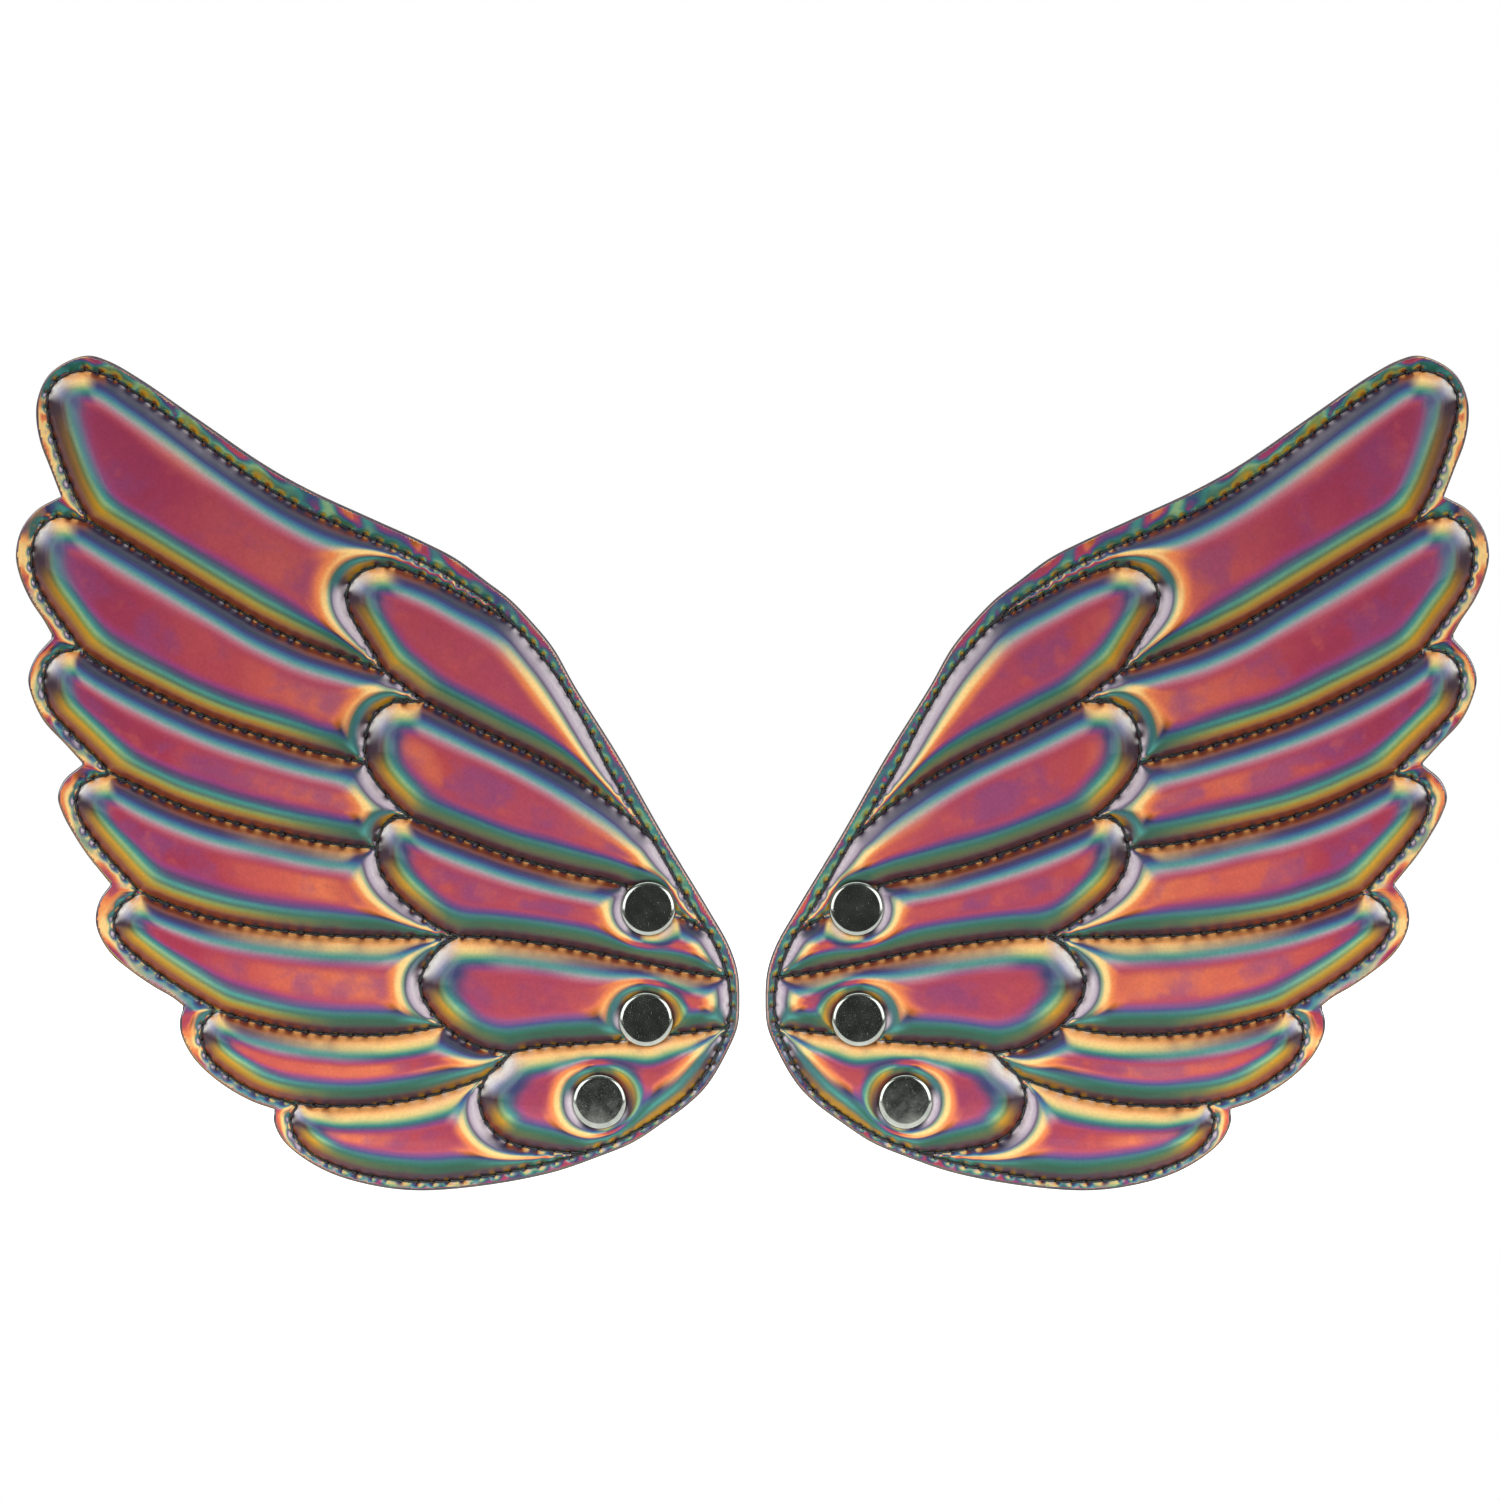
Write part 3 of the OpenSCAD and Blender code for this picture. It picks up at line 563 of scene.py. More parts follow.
class Graph:
    """Short names for building the node tree of a material or a world."""

    def __init__(self, owner):
        self.nodes, self.links = owner.node_tree.nodes, owner.node_tree.links

    def node(self, kind, **settings):
        n = self.nodes.new(kind)
        for key, value in settings.items():
            setattr(n, key, value)
        return n

    def put(self, socket, value):
        """Links another node's output to a socket, or sets the socket's own value."""
        if hasattr(value, "is_output"):
            self.links.new(value, socket)
        else:
            socket.default_value = value

    def place(self):
        return self.node("ShaderNodeTexCoord").outputs["Object"]

    def split(self, vector):
        """A vector's x, y and z."""
        n = self.node("ShaderNodeSeparateXYZ")
        self.put(n.inputs[0], vector)
        return n.outputs

    def math(self, operation, a, b=0.0):
        n = self.node("ShaderNodeMath", operation=operation)
        self.put(n.inputs[0], a)
        self.put(n.inputs[1], b)
        return n.outputs[0]

    def span(self, value, a, b, c=0.0, d=1.0, smooth=False):
        """Takes a value's range from a to b onto c to d, and holds it there outside."""
        n = self.node("ShaderNodeMapRange", clamp=True)
        n.interpolation_type = "SMOOTHSTEP" if smooth else "LINEAR"
        for socket, v in zip(n.inputs, (value, a, b, c, d)):
            self.put(socket, v)
        return n.outputs[0]

    def noise(self, vector, scale, detail=2.0, rough=0.5):
        n = self.node("ShaderNodeTexNoise")
        self.put(n.inputs["Vector"], vector)
        n.inputs["Scale"].default_value = scale
        n.inputs["Detail"].default_value = detail
        n.inputs["Roughness"].default_value = rough
        return n.outputs["Fac"]

    def mix(self, share, a, b):
        n = self.node("ShaderNodeMix", data_type="RGBA", blend_type="MIX")
        self.put(n.inputs["Factor"], share)
        self.put(n.inputs[6], a)
        self.put(n.inputs[7], b)
        return n.outputs[2]

    def ramp(self, value, stops):
        """Colours at rising places, with smooth changes between."""
        n = self.node("ShaderNodeValToRGB")
        n.color_ramp.interpolation = "LINEAR"
        ends = n.color_ramp.elements
        while len(ends) < len(stops):
            ends.new(0.5)
        for end, (place, colour) in zip(ends, stops):
            end.position, end.color = place, colour
        self.put(n.inputs[0], value)
        return n.outputs[0]

    def bump(self, height, distance, strength=1.0, normal=None):
        n = self.node("ShaderNodeBump")
        n.inputs["Strength"].default_value = strength
        n.inputs["Distance"].default_value = distance
        self.put(n.inputs["Height"], height)
        if normal is not None:
            self.put(n.inputs["Normal"], normal)
        return n.outputs[0]

    def shader(self, colour, normal=None, **values):
        n = self.node("ShaderNodeBsdfPrincipled")
        self.put(n.inputs["Base Color"], colour)
        if normal is not None:
            self.put(n.inputs["Normal"], normal)
        for key, value in values.items():
            self.put(n.inputs[key.replace("_", " ")], value)
        out = self.node("ShaderNodeOutputMaterial")
        self.links.new(n.outputs[0], out.inputs[0])
        return n


def paint(code):
    """A colour from the palette or in six hex digits of sRGB, as linear values."""
    code = PALETTE.get(code, code)
    c = [int(code[i:i + 2], 16) / 255 for i in (0, 2, 4)]
    return (*[v / 12.92 if v <= 0.04045 else ((v + 0.055) / 1.055) ** 2.4 for v in c], 1)


# The film's colours, by name. Pearl, silver, white and lilac serve the film's painted highlights.
PALETTE = dict(
    wine="8e3454", claret="a83c50", brick="b84c4e", coral="cc5e52", salmon="de7654",
    orange="ee8c54", amber="f6ae68", straw="fad088", sand="e0cc88", copper="cc8658", ochre="a07414",
    chestnut="7e3e28", gold="c08c1c", rust="a85a22", bark="482c2a", soot="42323c", ink="343048",
    slate="3e485a", navy="3a4068", indigo="44487c", violet="5e4468", plum="4c3a58", mauve="84487c",
    orchid="96427a", rose="b04c60", pink="bc7080", mist="a89ea4", lilac="b0a0b0", pearl="dcd0d8",
    silver="bcb8c4", white="f2eeea", cloud="767894", steel="4a5e74", azure="467898", aqua="68a09a",
    teal="3c847a", jade="449086", sea="38686c", moss="4a6a5a", pine="246452", forest="2c5442",
    olive="829048", fern="8cb080", sage="8aa07c")
# The film's colour shift, with painted light: each colour holds the film's tint together with a
# painted reflection of the lights and the room, the pale ones painted highlights and the darkest
# ones painted shade on the steepest slopes. A row is the way a slope faces, in degrees round from
# inboard (0) through up (90), outboard (180) and down (270). Its colours are for steeper and
# steeper slopes.
STEEP = (0.05, 0.09, 0.13, 0.18, 0.23, 0.30, 0.38, 0.48, 0.62)
TINT_AND_PAINTED_LIGHT = {
    0: "coral salmon orange straw straw sage slate lilac pearl",
    30: "coral salmon orange straw straw sage plum lilac pearl",
    60: "claret rose pink mist aqua azure indigo slate ink",
    72: "claret rose pink mist aqua azure indigo plum chestnut",
    95: "claret rose mauve steel teal fern sand straw amber",
    145: "mauve violet navy navy steel steel cloud silver white",
    180: "mauve violet steel sea moss bark soot soot soot",
    225: "claret orchid steel jade fern olive gold ochre chestnut",
    250: "claret orchid violet steel jade moss olive ochre chestnut",
    275: "claret rose mauve indigo sea pine forest forest soot",
    305: "coral salmon rust ink navy sea jade moss ochre",
    335: "coral salmon orange amber copper moss sea sea soot",
}
# The flat tops' colour, by distance out from the middle in metres.
TOPS = {0.025: "coral", 0.05: "rose", 0.076: "brick", 0.088: "salmon", 0.11: "coral", 0.132: "claret",
        0.155: "wine"}
CUT_EDGE, GRAIN = "5a4c4a", "2a1820"


def tint_and_painted_light_colour(g, slope, turn):
    """The film's colour on a slope, its painted reflections, highlights and shade included, and the
    colours of each row of the table by themselves.
    """
    angles = sorted(TINT_AND_PAINTED_LIGHT)
    rows = {}
    for angle in angles:
        stops = [(s, paint(word)) for s, word in zip(STEEP, TINT_AND_PAINTED_LIGHT[angle].split())]
        rows[angle] = g.ramp(slope, stops)
    colour = rows[angles[0]]
    for low_angle, high_angle in zip(angles, angles[1:] + [360]):
        share = g.span(turn, low_angle / 360, high_angle / 360, smooth=True)
        colour = g.mix(share, colour, rows[high_angle % 360])
    return colour, rows


def tops_colour(g, place, out_by, height):
    """The colour of the feathers' flat tops, with soft patches."""
    near, far = min(TOPS), max(TOPS)
    stops = [((d - near) / (far - near), paint(word)) for d, word in TOPS.items()]
    tops = g.ramp(g.span(out_by, near, far), stops)
    purple = g.span(g.noise(place, 70, 3, 0.6), 0.46, 0.64, 0.0, 0.6, smooth=True)
    tops = g.mix(purple, tops, paint("mauve"))
    warm = g.span(g.noise(place, 120, 3, 0.6), 0.52, 0.68, 0.0, 0.45, smooth=True)
    tops = g.mix(warm, tops, paint("coral"))

    # They are darker high up, and low down near the middle.
    high_up = g.span(height, 0.05, 0.12, 0.0, 0.5, smooth=True)
    tops = g.mix(high_up, tops, paint("wine"))
    near_middle = g.span(out_by, 0.05, 0.085, 1.0, 0.0)
    low_down = g.span(height, -0.02, 0.02, 1.0, 0.0)
    low_in = g.math("MULTIPLY", near_middle, low_down)
    return g.mix(g.math("MULTIPLY", low_in, 0.6), tops, paint("wine"))


def film_material(name, side):
    """Film whose colour is painted by the way its surface faces: its tint, with the fixed lights'
    reflections and highlights and the shade on its slopes painted in.
    """
    m = new_material(name)
    g = Graph(m)
    place = g.place()
    facing = g.split(g.node("ShaderNodeNewGeometry").outputs["Normal"])
    where = g.split(place)

    # How steep the film is, made a little uneven, and which way it faces as a share of a turn.
    inboard = g.math("MULTIPLY", facing[0], -side)
    up = facing[2]
    squares = g.math("ADD", g.math("MULTIPLY", inboard, inboard), g.math("MULTIPLY", up, up))
    slope = g.math("SQRT", squares)
    uneven = g.math("MULTIPLY", g.math("SUBTRACT", g.noise(place, 45, 3), 0.5), 0.05)
    slope = g.math("MAXIMUM", g.math("ADD", slope, uneven), 0.0)
    turn = g.math("DIVIDE", g.math("ARCTAN2", up, inboard), 2 * math.pi)
    turn = g.math("FRACT", g.math("ADD", turn, 1.0))

    # Near the middle, the slopes that face down and a little outboard take one row's colours, its
    # painted reflection and shade with them.
    colour, rows = tint_and_painted_light_colour(g, slope, turn)
    out_by = g.math("ABSOLUTE", where[0])
    past_outboard = g.span(turn, 222 / 360, 245 / 360)
    before_inboard = g.span(turn, 0.765, 0.79, 1.0, 0.0)
    lower_side = g.math("MULTIPLY", past_outboard, before_inboard)
    inner = g.span(out_by, 0.088, 0.112, 0.8, 0.0, smooth=True)
    colour = g.mix(g.math("MULTIPLY", lower_side, inner), colour, rows[275])

    # The flat tops, and the border that turns down at the cut edge.
    tops = tops_colour(g, place, g.math("ADD", out_by, uneven), where[2])
    colour = g.mix(g.span(slope, 0.035, 0.11, smooth=True), tops, colour)
    colour = g.mix(g.span(slope, 0.78, 0.92), colour, paint(CUT_EDGE))

    # Fine dark grain, scuffs in the gloss, and a surface that isn't quite smooth.
    grain = g.noise(place, 1500, 3, 0.6)
    colour = g.mix(g.span(grain, 0.3, 0.7, 0.0, 0.16), colour, paint(GRAIN))
    scuffs = g.span(g.noise(place, 320, 4, 0.65), 0.35, 0.75)
    rough = g.math("ADD", g.math("MULTIPLY", scuffs, 0.12), 0.28)
    bumpy = g.bump(g.noise(place, 2600, 2, 0.6), 0.00004, 0.5)
    g.shader(
        colour, bumpy, Roughness=rough, Metallic=0.15, Coat_Weight=0.25, Coat_Roughness=0.07,
        Specular_IOR_Level=0.1)
    return m


def foam_material():
    """Pale open foam."""
    m = new_material("foam")
    g = Graph(m)
    place = g.place()
    fibres = g.noise(place, 900, 6, 0.7)
    colour = g.mix(g.span(fibres, 0.3, 0.7), paint("a89c92"), paint("d8d0c6"))
    g.shader(colour, g.bump(fibres, 0.0003, 0.8), Roughness=0.95, Sheen_Weight=0.3)
    return m


def weave(g, place, pitch):
    """Threads over and under each other, from 0 in the gaps to 1 on top."""
    across, _, up = g.split(place)
    wave = math.pi / pitch
    sine_across = g.math("SINE", g.math("MULTIPLY", across, wave))
    sine_up = g.math("SINE", g.math("MULTIPLY", up, wave))
    over = g.span(g.math("MULTIPLY", sine_across, sine_up), -0.15, 0.15)
    warp = g.math("MULTIPLY", over, g.math("ABSOLUTE", sine_across))
    weft = g.math("MULTIPLY", g.math("SUBTRACT", 1.0, over), g.math("ABSOLUTE", sine_up))
    return g.math("ADD", warp, weft)


def lining_material():
    """Grey-brown woven cloth with a little fuzz, and painted shade in the gaps of its weave."""
    m = new_material("lining")
    g = Graph(m)
    place = g.place()
    threads = weave(g, place, pitch=0.0006)
    tone = g.noise(place, 60, 4)
    base = g.mix(g.span(tone, 0.35, 0.65), paint("62565a"), paint("746864"))
    # Painted shade: the gaps between the threads are darkened.
    colour = g.mix(g.span(threads, 0.1, 0.9, 0.55, 0.0), base, paint("30282a"))
    fuzz = g.noise(place, 4000, 3)
    colour = g.mix(g.span(fuzz, 0.45, 0.8, 0.0, 0.35), colour, paint("8a7c78"))
    bumpy = g.bump(fuzz, 0.00003, 0.6, normal=g.bump(threads, 0.0001, 0.9))
    g.shader(colour, bumpy, Roughness=0.85, Sheen_Weight=0.35)
    return m


def thread_material():
    """Black sewing thread with fine fibres."""
    m = new_material("thread")
    g = Graph(m)
    place = g.place()
    fibres = g.noise(place, 6000, 4, 0.7)
    colour = g.mix(g.span(fibres, 0.4, 0.85), paint("08080a"), paint("1e1e22"))
    g.shader(colour, g.bump(fibres, 0.00003, 0.8), Roughness=0.42, Specular_IOR_Level=0.6)
    return m


def stretched(g, place, scale, tilt):
    """The place, drawn out so that a noise read there makes streaks."""
    n = g.node("ShaderNodeMapping")
    g.put(n.inputs[0], place)
    n.inputs["Scale"].default_value = scale
    n.inputs["Rotation"].default_value = (0.0, tilt, 0.0)
    return n.outputs[0]


def nickel_material(name, tone, rough):
    """Polished metal with hairline scratches, pits and smears."""
    m = new_material(name)
    g = Graph(m)
    place = g.place()
    lines = g.noise(stretched(g, place, (1.0, 1.0, 9.0), 0.7), 900, 3, 0.7)
    more = g.noise(stretched(g, place, (12.0, 1.0, 1.0), 0.3), 700, 2, 0.6)
    scratches = g.math("MAXIMUM", g.span(lines, 0.66, 0.74), g.span(more, 0.68, 0.75))
    pits = g.span(g.noise(place, 2200, 2, 0.5), 0.74, 0.8)
    marks = g.math("MAXIMUM", scratches, pits)
    smear = g.noise(place, 260, 4, 0.6)
    colour = g.mix(g.span(smear, 0.3, 0.75), paint(tone[0]), paint(tone[1]))
    polish = g.math("ADD", g.math("MULTIPLY", marks, 0.25), g.span(smear, 0.3, 0.8, rough, rough + 0.1))
    g.shader(colour, g.bump(marks, 0.00001, 0.25), Metallic=1.0, Roughness=polish)
    return m


MATERIALS = {
    "film_left": film_material("film_left", -1),
    "film_right": film_material("film_right", 1),
    "foam": foam_material(),
    "lining": lining_material(),
    "thread": thread_material(),
    "nickel": nickel_material("nickel", ("8e948e", "b4b8b0"), 0.09),
    "steel": nickel_material("steel", ("a8a49a", "c4c0b6"), 0.22),
}


# ---- Film, padding and lining of one wing.
FILM_CUT = cut_mesh(GRID, FILM_INSET)
FOAM_CUT = cut_mesh(FOAM_GRID, FOAM_INSET)
LINING_CUT = cut_mesh(LINING_GRID, 0.0)


def add_film(wing, side):
    """The film over the quilting, with its cut edge turned down all round and at the snaps."""
    p, cells, rim = FILM_CUT
    top = to_frame(p, read(film_z, p), side)
    ends = np.unique(rim)
    under = np.zeros(len(p), int)
    under[ends] = np.arange(len(ends)) + len(p)
    below = to_frame(p[ends], np.full(len(ends), LIP_T), side)
    walls = np.stack([rim[:, 1], rim[:, 0], under[rim[:, 0]], under[rim[:, 1]]], axis=1)
    faces = faced(np.vstack([cells, walls]), side)
    piece = make_piece(
        f"film_{wing}", np.vstack([top, below]), faces, MATERIALS[f"film_{wing}"], wing,
        f"{wing}_front_film")


def closed_sheet(cut, front_t, rear_t, side):
    """A closed layer between two heights, and its faces."""
    p, cells, rim = cut
    n = len(p)
    verts = np.vstack([to_frame(p, front_t, side), to_frame(p, rear_t, side)])
    walls = np.stack([rim[:, 1], rim[:, 0], rim[:, 0] + n, rim[:, 1] + n], axis=1)
    return verts, faced(np.vstack([cells, cells[:, ::-1] + n, walls]), side)


def add_padding(wing, side):
    """The foam, from just off the lining to just under the film."""
    p = FOAM_CUT[0]
    front = np.maximum(read(foam_z, p), LINING_T + FOAM_LEAST)
    verts, faces = closed_sheet(FOAM_CUT, front, np.full(len(p), LINING_T + FOAM_OFF), side)
    piece = make_piece(
        f"padding_{wing}", verts, faces, MATERIALS["foam"], wing, f"{wing}_foam")


def add_lining(wing, side):
    """The woven lining, slightly swollen between the seams."""
    p = LINING_CUT[0]
    verts, faces = closed_sheet(LINING_CUT, np.full(len(p), LINING_T), read(lining_z, p), side)
    piece = make_piece(
        f"lining_{wing}", verts, faces, MATERIALS["lining"], wing,
        f"{wing}_back_panel")


# ---- Stitches. Each is a short twisted length of thread from one needle hole to the next.
# A few short extra stitches lock each seam's start: how many, how long, and how far aside.
TACKS, TACK_LENGTH, TACK_ASIDE = 3, 0.4 * PITCH, 0.3


def stitch_rows(front):
    """Where each row's stitches start and end, for the outline and for the seams. The snaps
    cover the stitches that pass under them."""
    rows = {"outline": [], "quilting": []}
    covered = (CAP_R if front else SOCKET_R) + 0.2
    for key, path in SEAMS.items():
        run = lengths(path)[-1]
        n = max(1, round(run / PITCH))
        holes = along(path, np.linspace(0, run, n + 1))
        pairs = [(holes[i], holes[i + 1]) for i in range(n)]
        if key != "border":
            tack = along(path, TACK_LENGTH * np.arange(1, TACKS + 2))
            ahead = tack[1] - tack[0]
            aside = TACK_ASIDE * unit(np.array([-ahead[1], ahead[0]]))
            pairs += [(tack[i] + aside, tack[i + 1] + aside) for i in range(TACKS)]
        for a, b in pairs:
            if all(np.linalg.norm((a + b) / 2 - np.array(c)) > covered for c in SNAPS.values()):
                rows["outline" if key == "border" else "quilting"].append((a, b))
    return rows


# A stitch is a tube of RINGS sections of PLIES points. AT is each section's place along the
# stitch, and RISE its height over the sheet.
AT = (0.0, 0.04, 0.1, 0.25, 0.5, 0.75, 0.9, 0.96, 1.0)
RISE = (-0.45, 0.0, 0.18, 0.27, 0.3, 0.27, 0.18, 0.0, -0.45)
RINGS = len(AT)
PLIES = 8
TWIST = 5.5  # how far the thread's strands turn along a stitch, in radians
BOBBIN_FLAT = 0.62  # the bobbin thread's thickness, as a share of the needle thread's


def tube_faces(count):
    """The side faces and end faces of that many stitches."""
    k = np.arange(PLIES)
    k2 = (k + 1) % PLIES
    one = []
    for ring in range(RINGS - 1):
        first, second = ring * PLIES, (ring + 1) * PLIES
        one.append(np.stack([first + k, first + k2, second + k2, second + k], axis=1))
    size = RINGS * PLIES
    sides = (np.vstack(one)[None] + (np.arange(count) * size)[:, None, None]).reshape(-1, 4)
    starts = [list(range(i * size, i * size + PLIES)) for i in range(count)]
    ends = [list(range((i + 1) * size - 1, (i + 1) * size - 1 - PLIES, -1)) for i in range(count)]
    return sides, starts + ends


def thread_mesh(rows, front, side, seed):
    """Every stitch of a row, each with its own slant, height and twist."""
    rng = np.random.default_rng(seed)
    a = np.array([r[0] for r in rows])
    b = np.array([r[1] for r in rows])
    n = len(a)
    at = np.array(AT)
    ahead = unit(b - a)
    across = np.stack([-ahead[:, 1], ahead[:, 0]], axis=1)
    slant = 0.1 + 0.03 * rng.standard_normal(n)
    centred = 2 * at - 1
    sway = slant[:, None] * centred[None, :] * (1 - centred ** 6)
    mid = a[:, None] + (b - a)[:, None] * at[None, :, None] + across[:, None] * sway[:, :, None]
    lift = np.array(RISE)[None, :] * (1 + 0.12 * rng.standard_normal((n, 1)))
    spin = rng.uniform(0, math.pi, n)
    turn = 2 * math.pi * np.arange(PLIES) / PLIES
    twist = spin[:, None] + TWIST * at[None, :]
    r = THREAD_R * (1.12 + 0.2 * np.cos(2 * (turn[None, None, :] - twist[:, :, None])))
    flat = mid[:, :, None, :] + across[:, None, None, :] * (r * np.cos(turn))[..., None]
    t = lift[:, :, None] + r * np.sin(turn)
    t = VALLEY_T + t if front else -BOBBIN_FLAT * t
    verts = to_frame(flat.reshape(-1, 2), t.ravel(), side)
    sides, ends = tube_faces(n)
    turned = (side > 0) == front
    quads = (sides if turned else sides[:, ::-1]).tolist()
    return verts, quads + [(end[::-1] if turned else end) for end in ends]


def add_threads(wing, side):
    for front, word in ((True, "stitching"), (False, "bobbin")):
        rows = stitch_rows(front)
        for kind in ("outline", "quilting"):
            seed = 20 + 2 * front + (kind == "outline")
            verts, faces = thread_mesh(rows[kind], front, side, seed)
            make_piece(
                f"{kind}_{word}_{wing}", verts, faces, MATERIALS["thread"], wing,
                f"{wing}_{kind}_{word}")


# ---- Snap fasteners.
def lathe(profile, centre, side, ring=True, segments=96):
    """A profile of (r, t) points turned about a snap's axis: a closed ring, or a disc whose two
    ends are closed flat."""
    turn = 2 * math.pi * np.arange(segments) / segments
    around = np.stack([np.cos(turn), np.sin(turn)], axis=1)
    r, t = np.array(profile).T
    flat = np.array(centre) + r[:, None, None] * around[None]
    verts = to_frame(flat.reshape(-1, 2), np.repeat(t, segments), side)
    count = len(profile)
    here = np.arange(segments)
    ahead = (here + 1) % segments
    rows = []
    for i in range(count if ring else count - 1):
        first, second = i * segments, (i + 1) % count * segments
        rows.append(np.stack([first + here, second + here, second + ahead, first + ahead], axis=1))
    faces = faced(np.vstack(rows), side)
    if not ring:
        last = (count - 1) * segments
        ends = [list(range(segments)), list(range(last, last + segments))[::-1]]
        faces += [end if side > 0 else end[::-1] for end in ends]
    return verts, faces


def arc(r, t, radius, start, stop, steps):
    """A profile's points along an arc about (r, t), from one angle in degrees to another."""
    turns = [math.radians(start + (stop - start) * i / steps) for i in range(steps + 1)]
    return [(r + radius * math.cos(turn), t + radius * math.sin(turn)) for turn in turns]


def cap_profile():
    """A cap that is flat in the middle, rolls off towards its rim and is hemmed under."""
    flat_r, rim_r, steepest, steps = 0.78 * CAP_R, 0.8, 28, 12
    roll_r = CAP_R - rim_r + rim_r * math.sin(math.radians(steepest)) - flat_r
    dome = [(0.1 * CAP_R, CAP_TOP_T), (0.35 * CAP_R, CAP_TOP_T - 0.01), (flat_r, CAP_TOP_T - 0.04)]
    for i in range(1, steps + 1):
        tilt = math.radians(steepest * ((i - 0.5) / steps) ** 1.2)
        dome.append((dome[-1][0] + roll_r / steps, dome[-1][1] - roll_r / steps * math.tan(tilt)))
    rim_t = dome[-1][1] - rim_r * math.cos(math.radians(steepest))
    rim = arc(CAP_R - rim_r, rim_t, rim_r, 90 - steepest - 6, -30, 12)
    hem_r, hem_t = CAP_R - 1.5, VALLEY_T + 0.35
    hem = [(CAP_R - 0.3, VALLEY_T + 0.04), (hem_r, VALLEY_T), (hem_r, hem_t)]
    wall_r = CAP_R - 0.7
    inner = [
        (wall_r, hem_t), (wall_r, CAP_TOP_T - 1.4), (CAP_R - 1.8, CAP_TOP_T - 0.75),
        (0.1 * CAP_R, CAP_TOP_T - 0.5)]
    return (dome + rim + hem + inner)[::-1]


def socket_profile():
    """A socket: a seat that the post holds, a skirt against the lining, and a mouth for the stud
    with a groove behind it for the ring spring."""
    back = -SOCKET_H
    cup_r, skirt_r, corner_r = 4.1, SOCKET_R - 0.5, 0.8
    mouth_r, lip_r = 2.85, 0.15
    groove_r, groove_from, groove_to = 3.65, back + 0.55, back + 1.55
    neck_r, neck_to, well_r, seat_t = 2.95, back + 1.95, 3.5, -0.5
    web_t = back + 0.7
    seat = [(HOLE_R, 0.0), (cup_r, 0.0), (cup_r, web_t), (skirt_r, web_t), (skirt_r, 0.0)]
    skirt = [(SOCKET_R - 0.1, 0.0), (SOCKET_R, -0.15), (SOCKET_R, back + 1.0)]
    corner = arc(SOCKET_R - corner_r, back + corner_r, corner_r, 0, -90, 8)
    lip = [(mouth_r + 2 * lip_r, back)] + arc(mouth_r + lip_r, back + lip_r, lip_r, -90, -180, 4)
    groove = [(mouth_r, groove_from), (groove_r, groove_from), (groove_r, groove_to)]
    neck = [(neck_r, groove_to), (neck_r, neck_to), (well_r, neck_to)]
    return seat + skirt + corner + lip + groove + neck + [(well_r, seat_t), (HOLE_R, seat_t)]


def add_snaps(wing, side):
    for level, centre in SNAPS.items():
        turned = {
            "cap": lathe(cap_profile(), centre, side, ring=False),
            "socket": lathe(socket_profile(), centre, side)}
        for part, (verts, faces) in turned.items():
            make_piece(
                f"{part}_{wing}_{level}", verts, faces, MATERIALS["nickel"], wing,
                f"{wing}_{level}_{part}")

        # The posts and the ring springs are shown as they are.
        for part, finish in (("post", "nickel"), ("spring", "steel")):
            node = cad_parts[f"{wing}_{level}_{part}"]
            node.data.materials.clear()
            node.data.materials.append(MATERIALS[finish])


for one_wing, one_side in SIDES.items():
    add_film(one_wing, one_side)
    add_padding(one_wing, one_side)
    add_lining(one_wing, one_side)
    add_threads(one_wing, one_side)
    add_snaps(one_wing, one_side)


# ---- Floor, light and camera.
def add_floor():
    """A pale floor just under the object, from a little in front of it to far behind it."""
    material = new_material("floor")
    surface = Graph(material).shader(paint("f4f3f1"), Roughness=0.9)
    surface.inputs["Emission Color"].default_value = (1, 1, 1, 1)
    surface.inputs["Emission Strength"].default_value = 0.9
    z = cad_low.z - 0.0002
    wide, front, rear = 4.0, -0.17, 4.0
    corners = [(-wide, front, z), (wide, front, z), (wide, rear, z), (-wide, rear, z)]
    mesh = bpy.data.meshes.new("floor")
    mesh.from_pydata(corners, [], [(0, 1, 2, 3)])
    mesh.materials.append(material)
    floor = bpy.data.objects.new("floor", mesh)
    bpy.context.scene.collection.objects.link(floor)


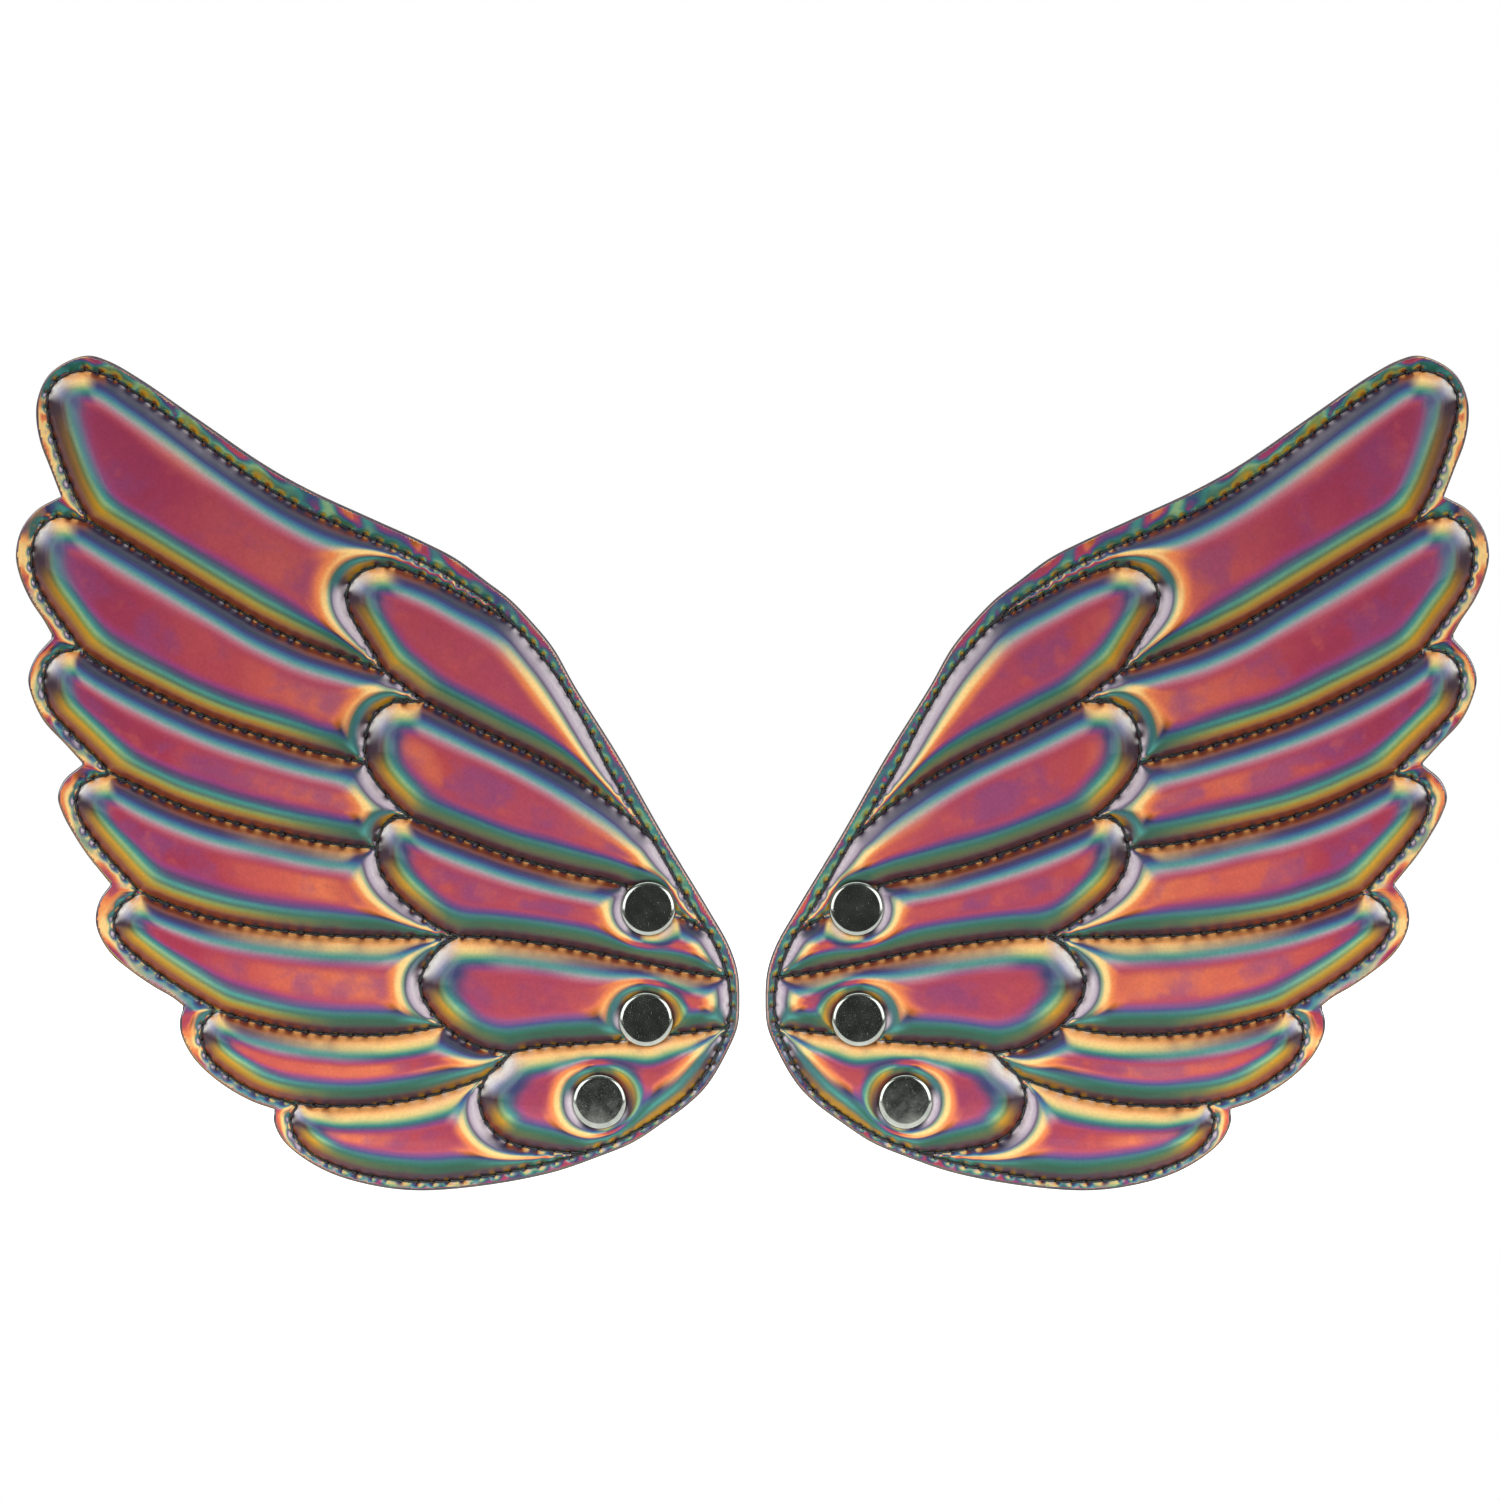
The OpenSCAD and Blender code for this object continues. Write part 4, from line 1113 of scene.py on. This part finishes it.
def add_light(name, place, aim_at, size, power):
    """A soft panel of light that the camera doesn't see."""
    data = bpy.data.lights.new(name, "AREA")
    data.shape, data.size, data.size_y = "RECTANGLE", size[0], size[1]
    data.energy = power
    light = bpy.data.objects.new(name, data)
    light.location = place
    light.rotation_mode = "QUATERNION"
    light.rotation_quaternion = (Vector(aim_at) - Vector(place)).to_track_quat("-Z", "Y")
    light.visible_camera = False
    bpy.context.scene.collection.objects.link(light)


add_floor()
middle = (cad_low + cad_high) / 2
for hand in (-1, 1):
    add_light(f"key_{hand + 1}", (0.9 * hand, -1.25, 0.45), middle, (0.9, 1.0), 9.5)
    add_light(f"back_{hand + 1}", (0.9 * hand, 1.2, 0.7), middle, (0.8, 0.8), 7)
add_light("top", (0, -0.5, 1.35), middle, (1.6, 0.5), 4)

# The camera sees plain white behind the object. The object is lit by a room that is bright all
# round, apart from the dark behind the camera that the metal mirrors.
world = bpy.data.worlds.new("studio")
bpy.context.scene.world = world
world.use_nodes = True
world.node_tree.nodes.clear()
sky = Graph(world)
toward = sky.split(sky.node("ShaderNodeTexCoord").outputs["Generated"])
seen = sky.node("ShaderNodeBackground")
sky.put(seen.inputs[0], (1, 1, 1, 1))
room = sky.node("ShaderNodeBackground")
sky.put(room.inputs[0], (0.92, 0.97, 0.94, 1))
sky.put(room.inputs[1], sky.span(toward[1], -0.93, -0.6, 0.07, 0.4, smooth=True))
choose = sky.node("ShaderNodeMixShader")
sky.put(choose.inputs[0], sky.node("ShaderNodeLightPath").outputs["Is Camera Ray"])
sky.put(choose.inputs[1], room.outputs[0])
sky.put(choose.inputs[2], seen.outputs[0])
sky.put(sky.node("ShaderNodeOutputWorld").inputs[0], choose.outputs[0])

LENS, SENSOR = 150.0, 36.0  # in millimetres
VIEW_WIDE, VIEW_X, VIEW_Z = 0.3375, -0.00056, 0.06075  # the picture's width and middle, in metres
camera_data = bpy.data.cameras.new("camera")
camera_data.lens, camera_data.sensor_width = LENS, SENSOR
camera_data.clip_start, camera_data.clip_end = 0.05, 60
camera = bpy.data.objects.new("camera", camera_data)
distance = VIEW_WIDE / 2 / (SENSOR / 2 / LENS)
camera.location = (VIEW_X, cad_low.y - distance, VIEW_Z)
camera.rotation_euler = (math.pi / 2, 0, 0)
bpy.context.scene.collection.objects.link(camera)
bpy.context.scene.camera = camera
bpy.context.scene.view_settings.view_transform = "Standard"
